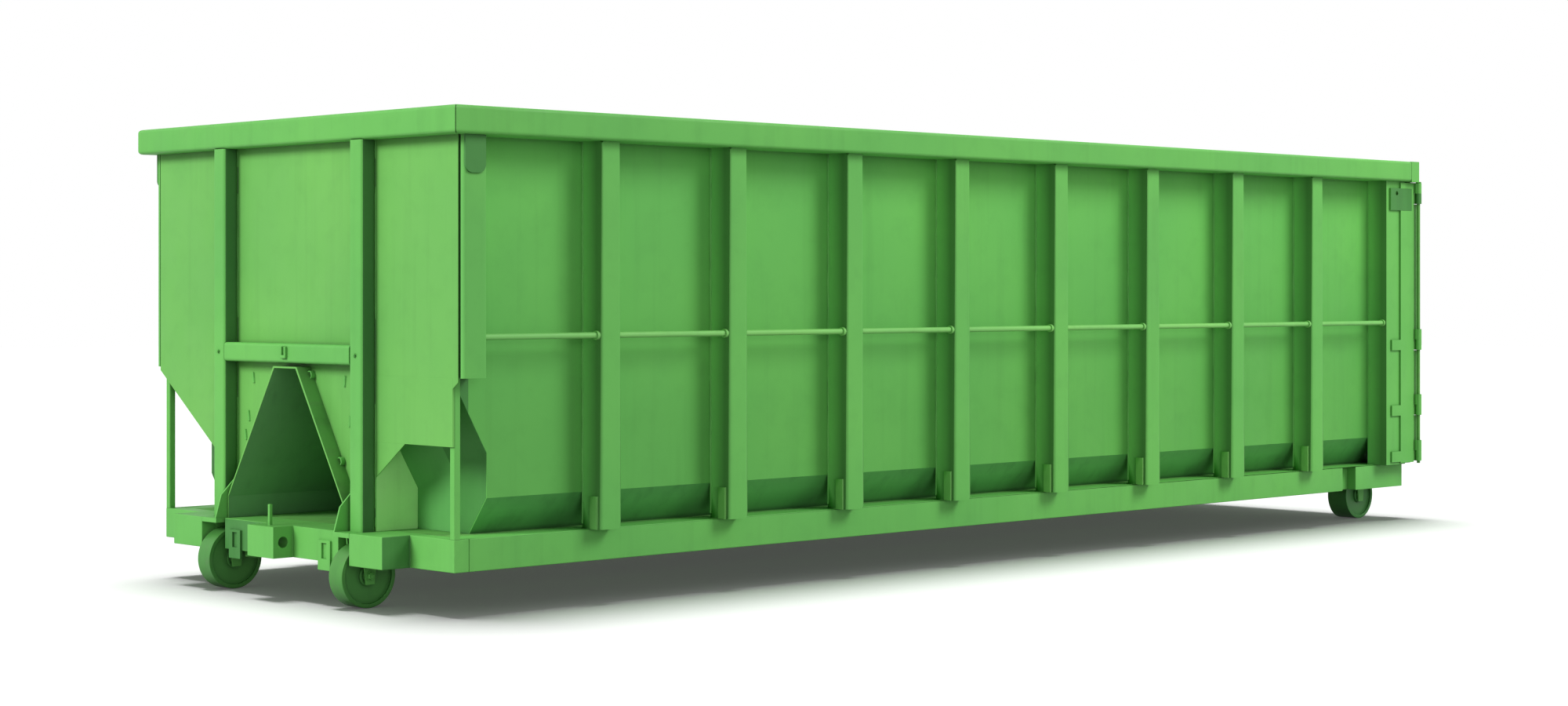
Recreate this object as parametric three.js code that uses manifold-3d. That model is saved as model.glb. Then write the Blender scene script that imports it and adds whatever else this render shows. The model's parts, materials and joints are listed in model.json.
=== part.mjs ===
// Roll-off dumpster: an open-topped steel container on four rollers.
// Millimetres, +Z up, ground at zero. The nose with the pull lug points to -X, the rear door is at +X.
// Near means the side at -Y that the photograph shows, far the side at +Y.
import * as THREE from "three";
import { mergeVertices } from "three/addons/utils/BufferGeometryUtils.js";
import Module from "manifold-3d";

const wasm = await Module();
wasm.setup();

// Sizes of the whole container. X is counted from the front face of the top rail.
const overallWidth = 2438;
const overallHeight = 2074;
const bodyLength = 6890;
const groundClearance = 185;
const sheetThickness = 4;
const tubeWall = 4;
const fitGap = 0.3;
const cutOverrun = 20;
const drainRadius = 8;

// Top rail, a tube round the rim.
const topRailHeight = 115;
const topRailDepth = 180;

// Base frame.
const baseRailHeight = 135;
const baseRailWidth = 130;
const baseSideInset = 114;
const baseFrontX = 80;
const baseBarDepth = 75;
const baseRailOverhang = 76;
const wheelPocketSetback = 530;
const wheelPocketLength = 130;
const wheelPocketDepth = 60;

// Walls.
const ribOuterInset = 44;
const ribWidth = 106;
const ribDepth = 127;
const ribFirstX = 798;
const ribCount = 8;
const skirtHeight = 155;
const skirtRun = 118;
const footPlateThickness = 10;
const footPlateHeight = 140;
const footPlateInset = 24;
const footPlateHoleRadius = 9;

// Front wall with its posts and cut lower corners.
const frontSheetX = 72;
const frontSheetHalf = 1140;
const frontPostCentre = 526;
const frontPostWidth = 90;
const cornerPostWidth = 118;
const cornerPostBottom = 974;
const stanchionSize = 32;
const cutOuterHeight = 958;
const cutInnerHeight = 545;
const cutLength = 216;
const soffitRearHeight = 659;
const soffitRiseAcross = 167;
const soffitRiseForward = 382;
const coverBottom = 695;

// Cross tube over the doghouse, the tunnel that the hoist's hook reaches into.
const crossTubeBottom = 1015;
const crossTubeHeight = 84;
const tubeLugWidth = 26;
const tubeLugHeight = 40;
const tubeLugDepth = 12;
const tubeLugSpacing = 80;
const doghouseTopHalf = 90;
const doghouseFootHalf = 453;
const doghouseTop = 1000;
const doghouseKnee = 415;
const doghouseDepth = 700;
const doghousePlate = 8;

// Nose beam with the pull lug.
const noseFrontX = -23;
const noseDepth = 75;
const noseHalf = 437;
const lugReach = 100;
const lugHalf = 100;
const lugHoleRadius = 24;
const lugPinSize = 15;
const lugPinHeight = 90;
const railEndThickness = 10;
const railEndTop = 275;
const railEndSlotWidth = 36;
const railEndSlotHeight = 66;

// Long rails and crossmembers under the floor.
const longRailInner = 300;
const longRailWidth = 90;
const longRailBottom = 148;
const crossmemberHeight = 70;
const crossmemberWidth = 60;
const crossmemberFirstX = 740;
const crossmemberCount = 12;
const rearBeamDepth = 70;
const rearBeamEndGap = 6;

// Front rollers and their housings.
const wheelRadius = 136;
const hubRecess = 12;
const hubRecessShare = 0.72;
const hubBossShare = 0.34;
const axleRadius = 25;
const axleClearance = 0.08;
const frontWheelX = 48;
const frontWheelInner = 462;
const frontWheelWidth = 95;
const rearWheelSetback = 150;
const rearWheelRailGap = 12;
const rearWheelWidth = 126;
const wheelSideGap = 2;
const cheekThickness = 9;
const cheekTopWidth = 90;
const cheekFootWidth = 44;
const cheekBelowAxle = 36;
const housingPlate = 20;
const housingFrontX = -60;
const housingRearX = 155;
const bumperFrontX = -60;
const bumperWidth = 236;
const rearMountLength = 190;
const gussetHeight = 205;
const gussetSideGap = 1;
const gussetKneeShare = 0.5;

// Tie bars along the sides.
const tieBarRadius = 13;
const tieBarHeight = 1140;
const tieBarInset = 25;
const collarRadius = 20;
const collarLength = 14;

// Rear posts, door, hinges and bolt.
const rearPostWidth = 193;
const doorGap = 3;
const doorThickness = 77;
const doorEdgeInset = 59;
const doorFrameWidth = 120;
const doorBarCount = 3;
const doorBarWidth = 90;
const doorBarDepth = 55;
const hingeShares = [0.0099, 0.1866, 0.4375, 1];
const hingeHeadroom = 8;
const hingeRodRadius = 9.8;
const hingeRodHead = 16;
const hingeRodHeadHeight = 8;
const hingeRodOverhang = 14;
const hingeClearance = 0.09;
const knuckleRadius = 18;
const knuckleHeight = 60;
const knuckleAxisInset = 19;
const knuckleAxisOut = 22;
const strapThickness = 10;
const doorStrapLength = 420;
const postStrapLength = 150;
const hingePlateLength = 60;
const hingePlateSetback = 26;
const boltRadius = 14;
const boltLength = 420;
const boltDrop = 19.5;
const boltClearance = 0.09;
const boltTravel = 60;
const boltGuideWidth = 40;
const boltGuideSpacing = 230;
const boltHandleLength = 90;
const boltHandleRadius = 8;
const boltTipGap = 8;
const keeperThickness = 12;
const keeperHeight = 70;
const keeperHoleGap = 2;

// Numbers of sides of the round pieces.
const wheelSides = 40;
const boreSides = 24;
const rodSides = 16;
const barSides = 12;

// Places that follow from the sizes above.
const half = overallWidth / 2;
const railBottom = overallHeight - topRailHeight;
const baseTop = groundClearance + baseRailHeight;
const baseOuter = half - baseSideInset;
const baseInner = baseOuter - baseRailWidth;
const ribOuter = half - ribOuterInset;
const wallOuter = ribOuter - ribDepth;
const wallInner = wallOuter - sheetThickness;
const frontSheetBack = frontSheetX + sheetThickness;
const skirtTop = baseTop + skirtHeight;
const skirtFoot = wallOuter - skirtRun;
const postInner = frontPostCentre - frontPostWidth / 2;
const postOuter = frontPostCentre + frontPostWidth / 2;
const bulkheadX = frontSheetX + cutLength;
const floorBottom = baseTop - sheetThickness;
const crossmemberBottom = floorBottom - crossmemberHeight;
const frontWheelOuter = frontWheelInner + frontWheelWidth;
const rearWheelOuter = baseInner - rearWheelRailGap;
const rearWheelInner = rearWheelOuter - rearWheelWidth;
const rearBeamHalf = rearWheelInner - wheelSideGap - cheekThickness - rearBeamEndGap;
const rearWheelX = bodyLength - rearWheelSetback;
const wheelPocketStart = bodyLength - wheelPocketSetback;
const rearPostStart = bodyLength - rearPostWidth;
const ribPitch = (rearPostStart - ribFirstX) / ribCount;
const crossmemberPitch = (bodyLength - rearBeamDepth - crossmemberFirstX) / crossmemberCount;
const housingInner = frontWheelInner - wheelSideGap - cheekThickness;
const housingOuter = frontWheelOuter + wheelSideGap + cheekThickness;
const doorFront = bodyLength + doorGap;
const doorRear = doorFront + doorThickness;
const doorHalf = half - doorEdgeInset;
const doorTop = railBottom - doorGap;
const doorBottom = baseTop + doorGap;
const hingeSpan = railBottom - baseTop - 2 * knuckleHeight - hingeHeadroom;
const hingeHeights = hingeShares.map((share) => baseTop + share * hingeSpan);
const hingeX = doorRear + knuckleAxisOut;
const hingeY = -(half - knuckleAxisInset);
const rearReach = hingeX + knuckleRadius;
const frontReach = noseFrontX - lugReach;
const middleX = (rearReach + frontReach) / 2;
const boltX = doorRear + boltRadius + wheelSideGap;
const boltHeight = (doorBottom + doorTop) / 2 - boltDrop;
const boltTipY = doorHalf - boltTipGap;

// Paint.
const paint = { colour: 0x5fb152, roughness: 0.5, metalness: 0.05 };
const bareSteel = { colour: 0x6f7f6c, roughness: 0.45, metalness: 0.4 };

const root = new THREE.Group();
root.name = "roll_off_dumpster";

// Turns a three.js geometry into a closed solid.
function toSolid(geometry) {
  const plain = geometry.clone();
  plain.deleteAttribute("normal");
  plain.deleteAttribute("uv");
  const welded = mergeVertices(plain, 1e-4);
  return new wasm.Manifold(
    new wasm.Mesh({
      numProp: 3,
      vertProperties: Float32Array.from(welded.getAttribute("position").array),
      triVerts: Uint32Array.from(welded.index.array),
    }),
  );
}

// Turns a closed solid back into a three.js geometry.
function toGeometry(solid) {
  const mesh = solid.getMesh();
  const geometry = new THREE.BufferGeometry();
  geometry.setAttribute("position", new THREE.BufferAttribute(mesh.vertProperties, 3));
  geometry.setIndex(new THREE.BufferAttribute(mesh.triVerts, 1));
  const flat = geometry.toNonIndexed();
  flat.computeVertexNormals();
  return flat;
}

// Adds one named piece to the part, with its own material.
function addPiece(name, solid, look = paint) {
  const material = new THREE.MeshStandardMaterial({
    color: look.colour,
    roughness: look.roughness,
    metalness: look.metalness,
  });
  const mesh = new THREE.Mesh(toGeometry(solid.translate([-middleX, 0, 0])), material);
  mesh.name = name;
  root.add(mesh);
}

// A box between two corners.
function box(x0, x1, y0, y1, z0, z1) {
  const geometry = new THREE.BoxGeometry(x1 - x0, y1 - y0, z1 - z0);
  geometry.translate((x0 + x1) / 2, (y0 + y1) / 2, (z0 + z1) / 2);
  return toSolid(geometry);
}

// A box given on the +Y side, for either side of the container.
function sideBox(side, x0, x1, y0, y1, z0, z1) {
  return side > 0 ? box(x0, x1, y0, y1, z0, z1) : box(x0, x1, -y1, -y0, z0, z1);
}

// A rectangular tube; open names the faces, such as "z1", that stay without an end wall.
function tube(side, x0, x1, y0, y1, z0, z1, open) {
  const low = (face) => (open.includes(face) ? -cutOverrun : tubeWall);
  const cavity = sideBox(
    side,
    x0 + low("x0"),
    x1 - low("x1"),
    y0 + low("y0"),
    y1 - low("y1"),
    z0 + low("z0"),
    z1 - low("z1"),
  );
  return sideBox(side, x0, x1, y0, y1, z0, z1).subtract(cavity);
}

// An outline drawn in the plane across one axis, pulled along that axis.
function prism(points, axis, from, to) {
  const shape = new THREE.Shape(points.map(([a, b]) => new THREE.Vector2(a, b)));
  const geometry = new THREE.ExtrudeGeometry(shape, { depth: to - from, bevelEnabled: false });
  const ex = new THREE.Vector3(1, 0, 0);
  const ey = new THREE.Vector3(0, 1, 0);
  const ez = new THREE.Vector3(0, 0, 1);
  const turn = new THREE.Matrix4();
  if (axis === "x") {
    turn.makeBasis(ey, ez, ex).setPosition(from, 0, 0);
  } else if (axis === "y") {
    turn.makeBasis(ex, ez, ey.clone().negate()).setPosition(0, to, 0);
  } else {
    turn.setPosition(0, 0, from);
  }
  geometry.applyMatrix4(turn);
  return toSolid(geometry);
}

// A round bar along one axis; at holds the two other coordinates.
function rod(axis, at, radius, from, to, sides) {
  const geometry = new THREE.CylinderGeometry(radius, radius, to - from, sides);
  const middle = (from + to) / 2;
  if (axis === "x") {
    geometry.rotateZ(Math.PI / 2).translate(middle, at[0], at[1]);
  } else if (axis === "y") {
    geometry.translate(at[0], middle, at[1]);
  } else {
    geometry.rotateX(Math.PI / 2).translate(at[0], at[1], middle);
  }
  return toSolid(geometry);
}

// The corner radius of a faceted bore whose flats clear a pin.
function boreRadius(pinRadius, clearance, sides) {
  return (pinRadius + clearance) / Math.cos(Math.PI / sides);
}

function joinAll(solids) {
  return solids.reduce((sum, next) => sum.add(next));
}

// Mirrors an outline of the +Y side where the near side is wanted.
function sideOutline(side, points) {
  return side > 0 ? points : points.map(([y, z]) => [-y, z]).reverse();
}

// Height of the cut corner's soffit over a point of the plan. It falls to the rear and inwards.
function soffitHeight(x, y) {
  const across = soffitRiseAcross / (wallInner - postOuter);
  const along = soffitRiseForward / cutLength;
  return soffitRearHeight - across * (wallInner - y) + along * (bulkheadX - x);
}

// A block under the soffit plane, from x0 to x1 and y0 to y1, its top raised by lift.
function soffitBlock(side, x0, x1, y0, y1, z0, lift) {
  const corners = [
    [x0, y0],
    [x1, y0],
    [x1, y1],
    [x0, y1],
  ];
  const positions = [];
  for (const [x, y] of corners) positions.push(x, side * y, z0);
  for (const [x, y] of corners) positions.push(x, side * y, soffitHeight(x, y) + lift);
  const quads = [
    [0, 3, 2, 1],
    [4, 5, 6, 7],
    [0, 1, 5, 4],
    [1, 2, 6, 5],
    [2, 3, 7, 6],
    [3, 0, 4, 7],
  ];
  const index = [];
  for (const [a, b, c, d] of quads) {
    if (side > 0) index.push(a, b, c, a, c, d);
    else index.push(a, c, b, a, d, c);
  }
  const geometry = new THREE.BufferGeometry();
  geometry.setAttribute("position", new THREE.Float32BufferAttribute(positions, 3));
  geometry.setIndex(index);
  return toSolid(geometry);
}

// The outside space of a cut corner, which the walls leave free.
function cornerRecess(side, grow) {
  return soffitBlock(
    side,
    frontReach,
    bulkheadX + grow,
    postOuter - grow,
    half + cutOverrun,
    baseTop - cutOverrun,
    grow,
  );
}

// The doghouse's outline across the container, drawn in by inset.
function doghouseOutline(inset) {
  const foot = doghouseFootHalf - inset;
  const top = doghouseTopHalf - inset;
  const roof = doghouseTop - inset;
  return [
    [-foot, baseTop],
    [foot, baseTop],
    [foot, doghouseKnee],
    [top, roof],
    [-top, roof],
    [-foot, doghouseKnee],
  ];
}

// The inner outline of the container above its floor.
function interiorOutline(inset) {
  const side = wallInner - inset;
  const foot = skirtFoot - sheetThickness - inset;
  return [
    [-foot, baseTop],
    [foot, baseTop],
    [side, skirtTop],
    [side, railBottom],
    [-side, railBottom],
    [-side, skirtTop],
  ];
}

function makeFloor() {
  const start = baseFrontX + baseBarDepth;
  addPiece("floor_plate", box(start, bodyLength, -baseInner, baseInner, floorBottom, baseTop));
}

function makeSideSheet(side, name) {
  const outline = sideOutline(side, [
    [skirtFoot - sheetThickness, baseTop],
    [skirtFoot, baseTop],
    [wallOuter, skirtTop],
    [wallOuter, railBottom],
    [wallInner, railBottom],
    [wallInner, skirtTop],
  ]);
  const sheet = prism(outline, "x", frontSheetBack, bodyLength);
  addPiece("side_sheet_" + name, sheet.subtract(cornerRecess(side, 0)));
}

function makeFrontSheet() {
  const outline = [
    [-postOuter, baseTop],
    [postOuter, baseTop],
    [postOuter, cutInnerHeight],
    [frontSheetHalf, cutOuterHeight],
    [frontSheetHalf, railBottom],
    [-frontSheetHalf, railBottom],
    [-frontSheetHalf, cutOuterHeight],
    [-postOuter, cutInnerHeight],
  ];
  const sheet = prism(outline, "x", frontSheetX, frontSheetBack);
  const hole = prism(doghouseOutline(-fitGap), "x", frontReach, bulkheadX);
  const sill = box(
    frontReach,
    bulkheadX,
    -doghouseFootHalf - fitGap,
    doghouseFootHalf + fitGap,
    baseTop - cutOverrun,
    doghouseKnee,
  );
  addPiece("front_sheet", sheet.subtract(hole).subtract(sill));
}

function makeCornerPlates(side, name) {
  const grown = cornerRecess(side, sheetThickness);
  const inside = prism(interiorOutline(fitGap), "x", frontSheetBack, bodyLength);
  addPiece("corner_plate_" + name, grown.subtract(cornerRecess(side, 0)).intersect(inside));
}

// The plate behind the front sheet that closes the upper part of the near cut corner.
function makeCornerCover() {
  const plate = sideBox(
    -1,
    frontSheetBack,
    frontSheetBack + sheetThickness,
    postOuter,
    baseOuter,
    coverBottom,
    cornerPostBottom,
  );
  addPiece("corner_cover_near", plate.intersect(cornerRecess(-1, -fitGap)));
}

function makeDoghouse() {
  const outer = prism(doghouseOutline(0), "x", 0, doghouseDepth);
  const inner = prism(doghouseOutline(doghousePlate), "x", -cutOverrun, doghouseDepth - doghousePlate);
  const mouth = doghouseFootHalf - doghousePlate;
  const foot = box(
    -cutOverrun,
    doghouseDepth - doghousePlate,
    -mouth,
    mouth,
    baseTop - cutOverrun,
    doghouseKnee,
  );
  addPiece("doghouse_shell", outer.subtract(inner).subtract(foot));
}

function makeTopRails() {
  let front = box(0, topRailDepth, -half, half, railBottom, overallHeight);
  const cavity = box(
    tubeWall,
    topRailDepth - tubeWall,
    -half + tubeWall,
    half - tubeWall,
    railBottom + tubeWall,
    overallHeight - tubeWall,
  );
  front = front.subtract(cavity);
  for (const [side, name] of [[-1, "near"], [1, "far"]]) {
    const joint = sideBox(
      side,
      tubeWall,
      topRailDepth + cutOverrun,
      half - topRailDepth + tubeWall,
      half - tubeWall,
      railBottom + tubeWall,
      overallHeight - tubeWall,
    );
    front = front.subtract(joint);
    const rail = tube(
      side,
      topRailDepth,
      bodyLength,
      half - topRailDepth,
      half,
      railBottom,
      overallHeight,
      ["x0"],
    );
    addPiece("top_rail_" + name, rail);
  }
  addPiece("top_rail_front", front);
}

function makeFrontPost(side, name) {
  addPiece(
    "front_post_" + name,
    tube(side, 0, frontSheetX, postInner, postOuter, baseTop, railBottom, ["z1"]),
  );
}

function makeCrossTube() {
  const across = tube(
    1,
    0,
    frontSheetX,
    -postInner,
    postInner,
    crossTubeBottom,
    crossTubeBottom + crossTubeHeight,
    ["y0", "y1"],
  );
  const lugMiddle = crossTubeBottom + crossTubeHeight / 2;
  const lugs = [-1, 1].map((side) =>
    sideBox(
      side,
      -tubeLugDepth,
      tubeWall,
      tubeLugSpacing / 2 - tubeLugWidth / 2,
      tubeLugSpacing / 2 + tubeLugWidth / 2,
      lugMiddle - tubeLugHeight / 2,
      lugMiddle + tubeLugHeight / 2,
    ),
  );
  addPiece("front_cross_tube", joinAll([across, ...lugs]));
}

function makeCorner(side, name) {
  addPiece(
    "corner_post_" + name,
    tube(
      side,
      frontSheetBack,
      frontSheetBack + cornerPostWidth,
      wallOuter,
      ribOuter,
      cornerPostBottom,
      railBottom,
      ["z1"],
    ),
  );
  addPiece(
    "corner_stanchion_" + name,
    sideBox(
      side,
      baseFrontX,
      baseFrontX + stanchionSize,
      baseOuter - stanchionSize,
      baseOuter,
      baseTop,
      cornerPostBottom,
    ),
  );
}

function makeBaseFront(side, name) {
  const bar = sideBox(
    side,
    baseFrontX,
    baseFrontX + baseBarDepth,
    housingOuter,
    baseOuter,
    groundClearance,
    baseTop,
  );
  const bumper = sideBox(
    side,
    bumperFrontX,
    baseFrontX + baseBarDepth,
    housingOuter,
    housingOuter + bumperWidth,
    groundClearance,
    baseTop,
  );
  addPiece("base_front_" + name, bar.add(bumper));
}

function makeBaseRail(side, name) {
  const rail = sideBox(
    side,
    baseFrontX + baseBarDepth,
    bodyLength + baseRailOverhang,
    baseInner,
    baseOuter,
    groundClearance,
    baseTop,
  );
  const pocket = sideBox(
    side,
    wheelPocketStart,
    wheelPocketStart + wheelPocketLength,
    baseOuter - wheelPocketDepth,
    baseOuter + cutOverrun,
    groundClearance - cutOverrun,
    baseTop - sheetThickness,
  );
  const cavity = sideBox(
    side,
    baseFrontX + baseBarDepth - cutOverrun,
    wheelPocketStart - tubeWall,
    baseInner + tubeWall,
    baseOuter - tubeWall,
    groundClearance + tubeWall,
    baseTop - tubeWall,
  );
  addPiece("base_rail_" + name, rail.subtract(pocket).subtract(cavity));
}

function makeUnderframe() {
  const longRailOuter = longRailInner + longRailWidth;
  const pieces = [];
  const cavities = [];
  for (const side of [-1, 1]) {
    const top = crossmemberBottom + fitGap;
    const start = noseFrontX + noseDepth;
    pieces.push(
      sideBox(side, start, bodyLength, longRailInner, longRailOuter, longRailBottom, top),
    );
    cavities.push(
      sideBox(
        side,
        start + tubeWall,
        bodyLength + cutOverrun,
        longRailInner + tubeWall,
        longRailOuter - tubeWall,
        longRailBottom + tubeWall,
        top - tubeWall,
      ),
    );
  }
  // Crossmembers are channels with their open side down.
  const low = crossmemberBottom - cutOverrun;
  const high = floorBottom - tubeWall;
  for (let i = 0; i < crossmemberCount; i += 1) {
    const x = crossmemberFirstX + i * crossmemberPitch;
    const from = x + tubeWall;
    const to = x + crossmemberWidth - tubeWall;
    pieces.push(
      box(x, x + crossmemberWidth, -baseInner, baseInner, crossmemberBottom, floorBottom),
    );
    cavities.push(box(from, to, -longRailInner, longRailInner, low, high));
    for (const side of [-1, 1]) {
      cavities.push(sideBox(side, from, to, longRailOuter, baseInner + cutOverrun, low, high));
    }
  }
  const beamStart = bodyLength - rearBeamDepth;
  pieces.push(
    box(beamStart, bodyLength, -rearBeamHalf, rearBeamHalf, crossmemberBottom, floorBottom),
  );
  cavities.push(
    box(
      beamStart + tubeWall,
      bodyLength - tubeWall,
      -rearBeamHalf - cutOverrun,
      rearBeamHalf + cutOverrun,
      crossmemberBottom + tubeWall,
      high,
    ),
  );
  addPiece("underframe", joinAll(pieces).subtract(joinAll(cavities)));
}

function makeNoseBeam() {
  const noseBack = noseFrontX + noseDepth;
  const beam = box(noseFrontX, noseBack, -noseHalf, noseHalf, groundClearance, baseTop);
  const lug = box(frontReach, noseFrontX, -lugHalf, lugHalf, groundClearance, baseTop);
  const ledge = box(
    noseBack - sheetThickness,
    baseFrontX + baseBarDepth,
    -noseHalf,
    noseHalf,
    floorBottom,
    baseTop,
  );
  const lugMiddleX = (frontReach + noseFrontX) / 2;
  const lugMiddleZ = (groundClearance + baseTop) / 2;
  const hole = rod(
    "y",
    [lugMiddleX, lugMiddleZ],
    lugHoleRadius,
    -lugHalf - cutOverrun,
    lugHalf + cutOverrun,
    rodSides,
  );
  const pin = box(
    lugMiddleX - lugPinSize / 2,
    lugMiddleX + lugPinSize / 2,
    -lugPinSize / 2,
    lugPinSize / 2,
    baseTop - sheetThickness,
    baseTop + lugPinHeight,
  );
  const pieces = [beam, lug.subtract(hole), ledge, pin];
  for (const side of [-1, 1]) {
    const plate = sideBox(
      side,
      noseFrontX - railEndThickness,
      noseFrontX,
      longRailInner,
      longRailInner + longRailWidth,
      longRailBottom,
      railEndTop,
    );
    const railMiddle = longRailInner + longRailWidth / 2;
    const slotMiddle = (groundClearance + railEndTop) / 2;
    const slot = sideBox(
      side,
      noseFrontX - railEndThickness - cutOverrun,
      noseFrontX,
      railMiddle - railEndSlotWidth / 2,
      railMiddle + railEndSlotWidth / 2,
      slotMiddle - railEndSlotHeight / 2,
      slotMiddle + railEndSlotHeight / 2,
    );
    pieces.push(plate.subtract(slot));
  }
  addPiece("nose_beam", joinAll(pieces));
}

function makeRib(side, name, index) {
  const x = ribFirstX + index * ribPitch;
  const post = tube(side, x, x + ribWidth, wallOuter, ribOuter, baseTop, railBottom, ["z1"]);
  const plate = sideBox(
    side,
    x - footPlateThickness,
    x,
    wallOuter,
    ribOuter - footPlateInset,
    baseTop,
    baseTop + footPlateHeight,
  );
  const plateMiddle = (wallOuter + ribOuter - footPlateInset) / 2;
  const hole = rod(
    "x",
    [side * plateMiddle, baseTop + footPlateHeight / 2],
    footPlateHoleRadius,
    x - footPlateThickness - cutOverrun,
    x,
    barSides,
  );
  const bore = rod(
    "x",
    [side * (ribOuter - tieBarInset), tieBarHeight],
    tieBarRadius + fitGap,
    x - cutOverrun,
    x + ribWidth + cutOverrun,
    barSides,
  );
  addPiece("side_rib_" + name + "_" + (index + 1), post.add(plate.subtract(hole)).subtract(bore));
}

function makeTieBar(side, name) {
  const at = [side * (ribOuter - tieBarInset), tieBarHeight];
  const start = frontSheetBack + cornerPostWidth;
  const pieces = [rod("x", at, tieBarRadius, start, rearPostStart, barSides)];
  for (let i = 0; i < ribCount; i += 1) {
    const x = ribFirstX + i * ribPitch - fitGap;
    pieces.push(rod("x", at, collarRadius, x - collarLength, x, barSides));
  }
  const last = rearPostStart - fitGap;
  pieces.push(rod("x", at, collarRadius, last - collarLength, last, barSides));
  addPiece("tie_bar_" + name, joinAll(pieces));
}

// A roller with a dished face on both sides and a bore for its axle.
function makeWheel(side, name, x, inner, width) {
  const outer = inner + width;
  const middle = [x, wheelRadius];
  const span = side > 0 ? [inner, outer] : [-outer, -inner];
  let wheel = rod("y", middle, wheelRadius, span[0], span[1], wheelSides);
  const boss = wheelRadius * hubBossShare;
  for (const [from, to] of [
    [span[0] - cutOverrun, span[0] + hubRecess],
    [span[1] - hubRecess, span[1] + cutOverrun],
  ]) {
    const dish = rod("y", middle, wheelRadius * hubRecessShare, from, to, wheelSides);
    wheel = wheel.subtract(dish.subtract(rod("y", middle, boss, from, to, boreSides)));
  }
  const bore = boreRadius(axleRadius, axleClearance, boreSides);
  wheel = wheel.subtract(
    rod("y", middle, bore, span[0] - cutOverrun, span[1] + cutOverrun, boreSides),
  );
  addPiece("roller_" + name, wheel);
}

// A tapered plate that hangs down and carries one end of an axle.
function cheek(side, x, y0, y1, top) {
  const foot = wheelRadius - cheekBelowAxle;
  const outline = [
    [x - cheekTopWidth / 2, top],
    [x - cheekFootWidth / 2, foot],
    [x + cheekFootWidth / 2, foot],
    [x + cheekTopWidth / 2, top],
  ];
  return side > 0 ? prism(outline, "y", y0, y1) : prism(outline, "y", -y1, -y0);
}

// The upright plate beside the tunnel's mouth that stiffens a front roller's housing.
function frontGusset(side) {
  const foot = baseTop - housingPlate / 2;
  const outline = [
    [housingFrontX, foot],
    [frontSheetX, foot],
    [frontSheetX, baseTop + gussetHeight],
    [housingFrontX * (1 - gussetKneeShare), baseTop + gussetHeight * gussetKneeShare],
    [housingFrontX, baseTop],
  ];
  const inner = doghouseFootHalf + gussetSideGap;
  const outer = inner + cheekThickness;
  return side > 0 ? prism(outline, "y", inner, outer) : prism(outline, "y", -outer, -inner);
}

// Two cheeks, the axle between them and the plate over the roller.
function makeWheelMount(side, name, place) {
  const { x, inner, outer, plateBottom, plateTop, from, to, gusset } = place;
  const pieces = [
    sideBox(side, from, to, inner, outer, plateBottom, plateTop),
    cheek(side, x, inner, inner + cheekThickness, plateTop),
    cheek(side, x, outer - cheekThickness, outer, plateTop),
  ];
  const ends = side > 0 ? [inner, outer] : [-outer, -inner];
  pieces.push(rod("y", [x, wheelRadius], axleRadius, ends[0], ends[1], boreSides));
  if (gusset) pieces.push(frontGusset(side));
  addPiece(name, joinAll(pieces));
}

function makeRollers(side, name) {
  makeWheel(side, "front_" + name, frontWheelX, frontWheelInner, frontWheelWidth);
  makeWheel(side, "rear_" + name, rearWheelX, rearWheelInner, rearWheelWidth);
  makeWheelMount(side, "front_roller_mount_" + name, {
    x: frontWheelX,
    inner: housingInner,
    outer: housingOuter,
    plateBottom: baseTop - housingPlate,
    plateTop: baseTop,
    from: housingFrontX,
    to: housingRearX,
    gusset: true,
  });
  makeWheelMount(side, "rear_roller_mount_" + name, {
    x: rearWheelX,
    inner: rearWheelInner - wheelSideGap - cheekThickness,
    outer: rearWheelOuter + wheelSideGap + cheekThickness,
    plateBottom: floorBottom - housingPlate,
    plateTop: floorBottom,
    from: rearWheelX - rearMountLength / 2,
    to: bodyLength - rearBeamDepth,
    gusset: false,
  });
}

// A hinge knuckle round the hinge axis.
function knuckle(z) {
  const at = [hingeX, hingeY];
  const ring = rod("z", at, knuckleRadius, z, z + knuckleHeight, rodSides);
  const bore = boreRadius(hingeRodRadius, hingeClearance, rodSides);
  return ring.subtract(
    rod("z", at, bore, z - cutOverrun, z + knuckleHeight + cutOverrun, rodSides),
  );
}

function hingeBoreThrough(z) {
  const bore = boreRadius(hingeRodRadius, hingeClearance, rodSides);
  return rod(
    "z",
    [hingeX, hingeY],
    bore,
    z - cutOverrun,
    z + knuckleHeight + cutOverrun,
    rodSides,
  );
}

function makeRearPost(side, name) {
  let post = tube(
    side,
    rearPostStart,
    bodyLength,
    wallOuter,
    ribOuter,
    baseTop,
    railBottom,
    ["z1"],
  );
  if (side < 0) {
    const plate = box(
      bodyLength - hingePlateLength,
      hingeX - hingePlateSetback,
      -ribOuter - strapThickness,
      -ribOuter,
      baseTop + hingeHeadroom,
      railBottom - hingeHeadroom,
    );
    post = post.add(plate);
    for (const height of hingeHeights) {
      const strap = box(
        bodyLength - postStrapLength,
        hingeX,
        -ribOuter - strapThickness,
        -ribOuter,
        height,
        height + knuckleHeight,
      );
      const link = box(
        hingeX - strapThickness,
        hingeX,
        hingeY,
        -ribOuter,
        height,
        height + knuckleHeight,
      );
      post = post.add(strap).add(link).add(knuckle(height)).subtract(hingeBoreThrough(height));
    }
  }
  addPiece("rear_post_" + name, post);
}

// The plate on the far rear post that takes the bolt's tip.
function makeKeeper() {
  const inner = ribOuter - keeperThickness;
  const low = boltHeight - keeperHeight / 2;
  const high = boltHeight + keeperHeight / 2;
  const holeHalf = boltRadius + keeperHoleGap;
  const hole = box(
    boltX - holeHalf,
    boltX + holeHalf,
    inner - cutOverrun,
    ribOuter + cutOverrun,
    boltHeight - holeHalf,
    boltHeight + holeHalf,
  );
  addPiece("bolt_keeper", box(bodyLength, rearReach, inner, ribOuter, low, high).subtract(hole));
}

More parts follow.
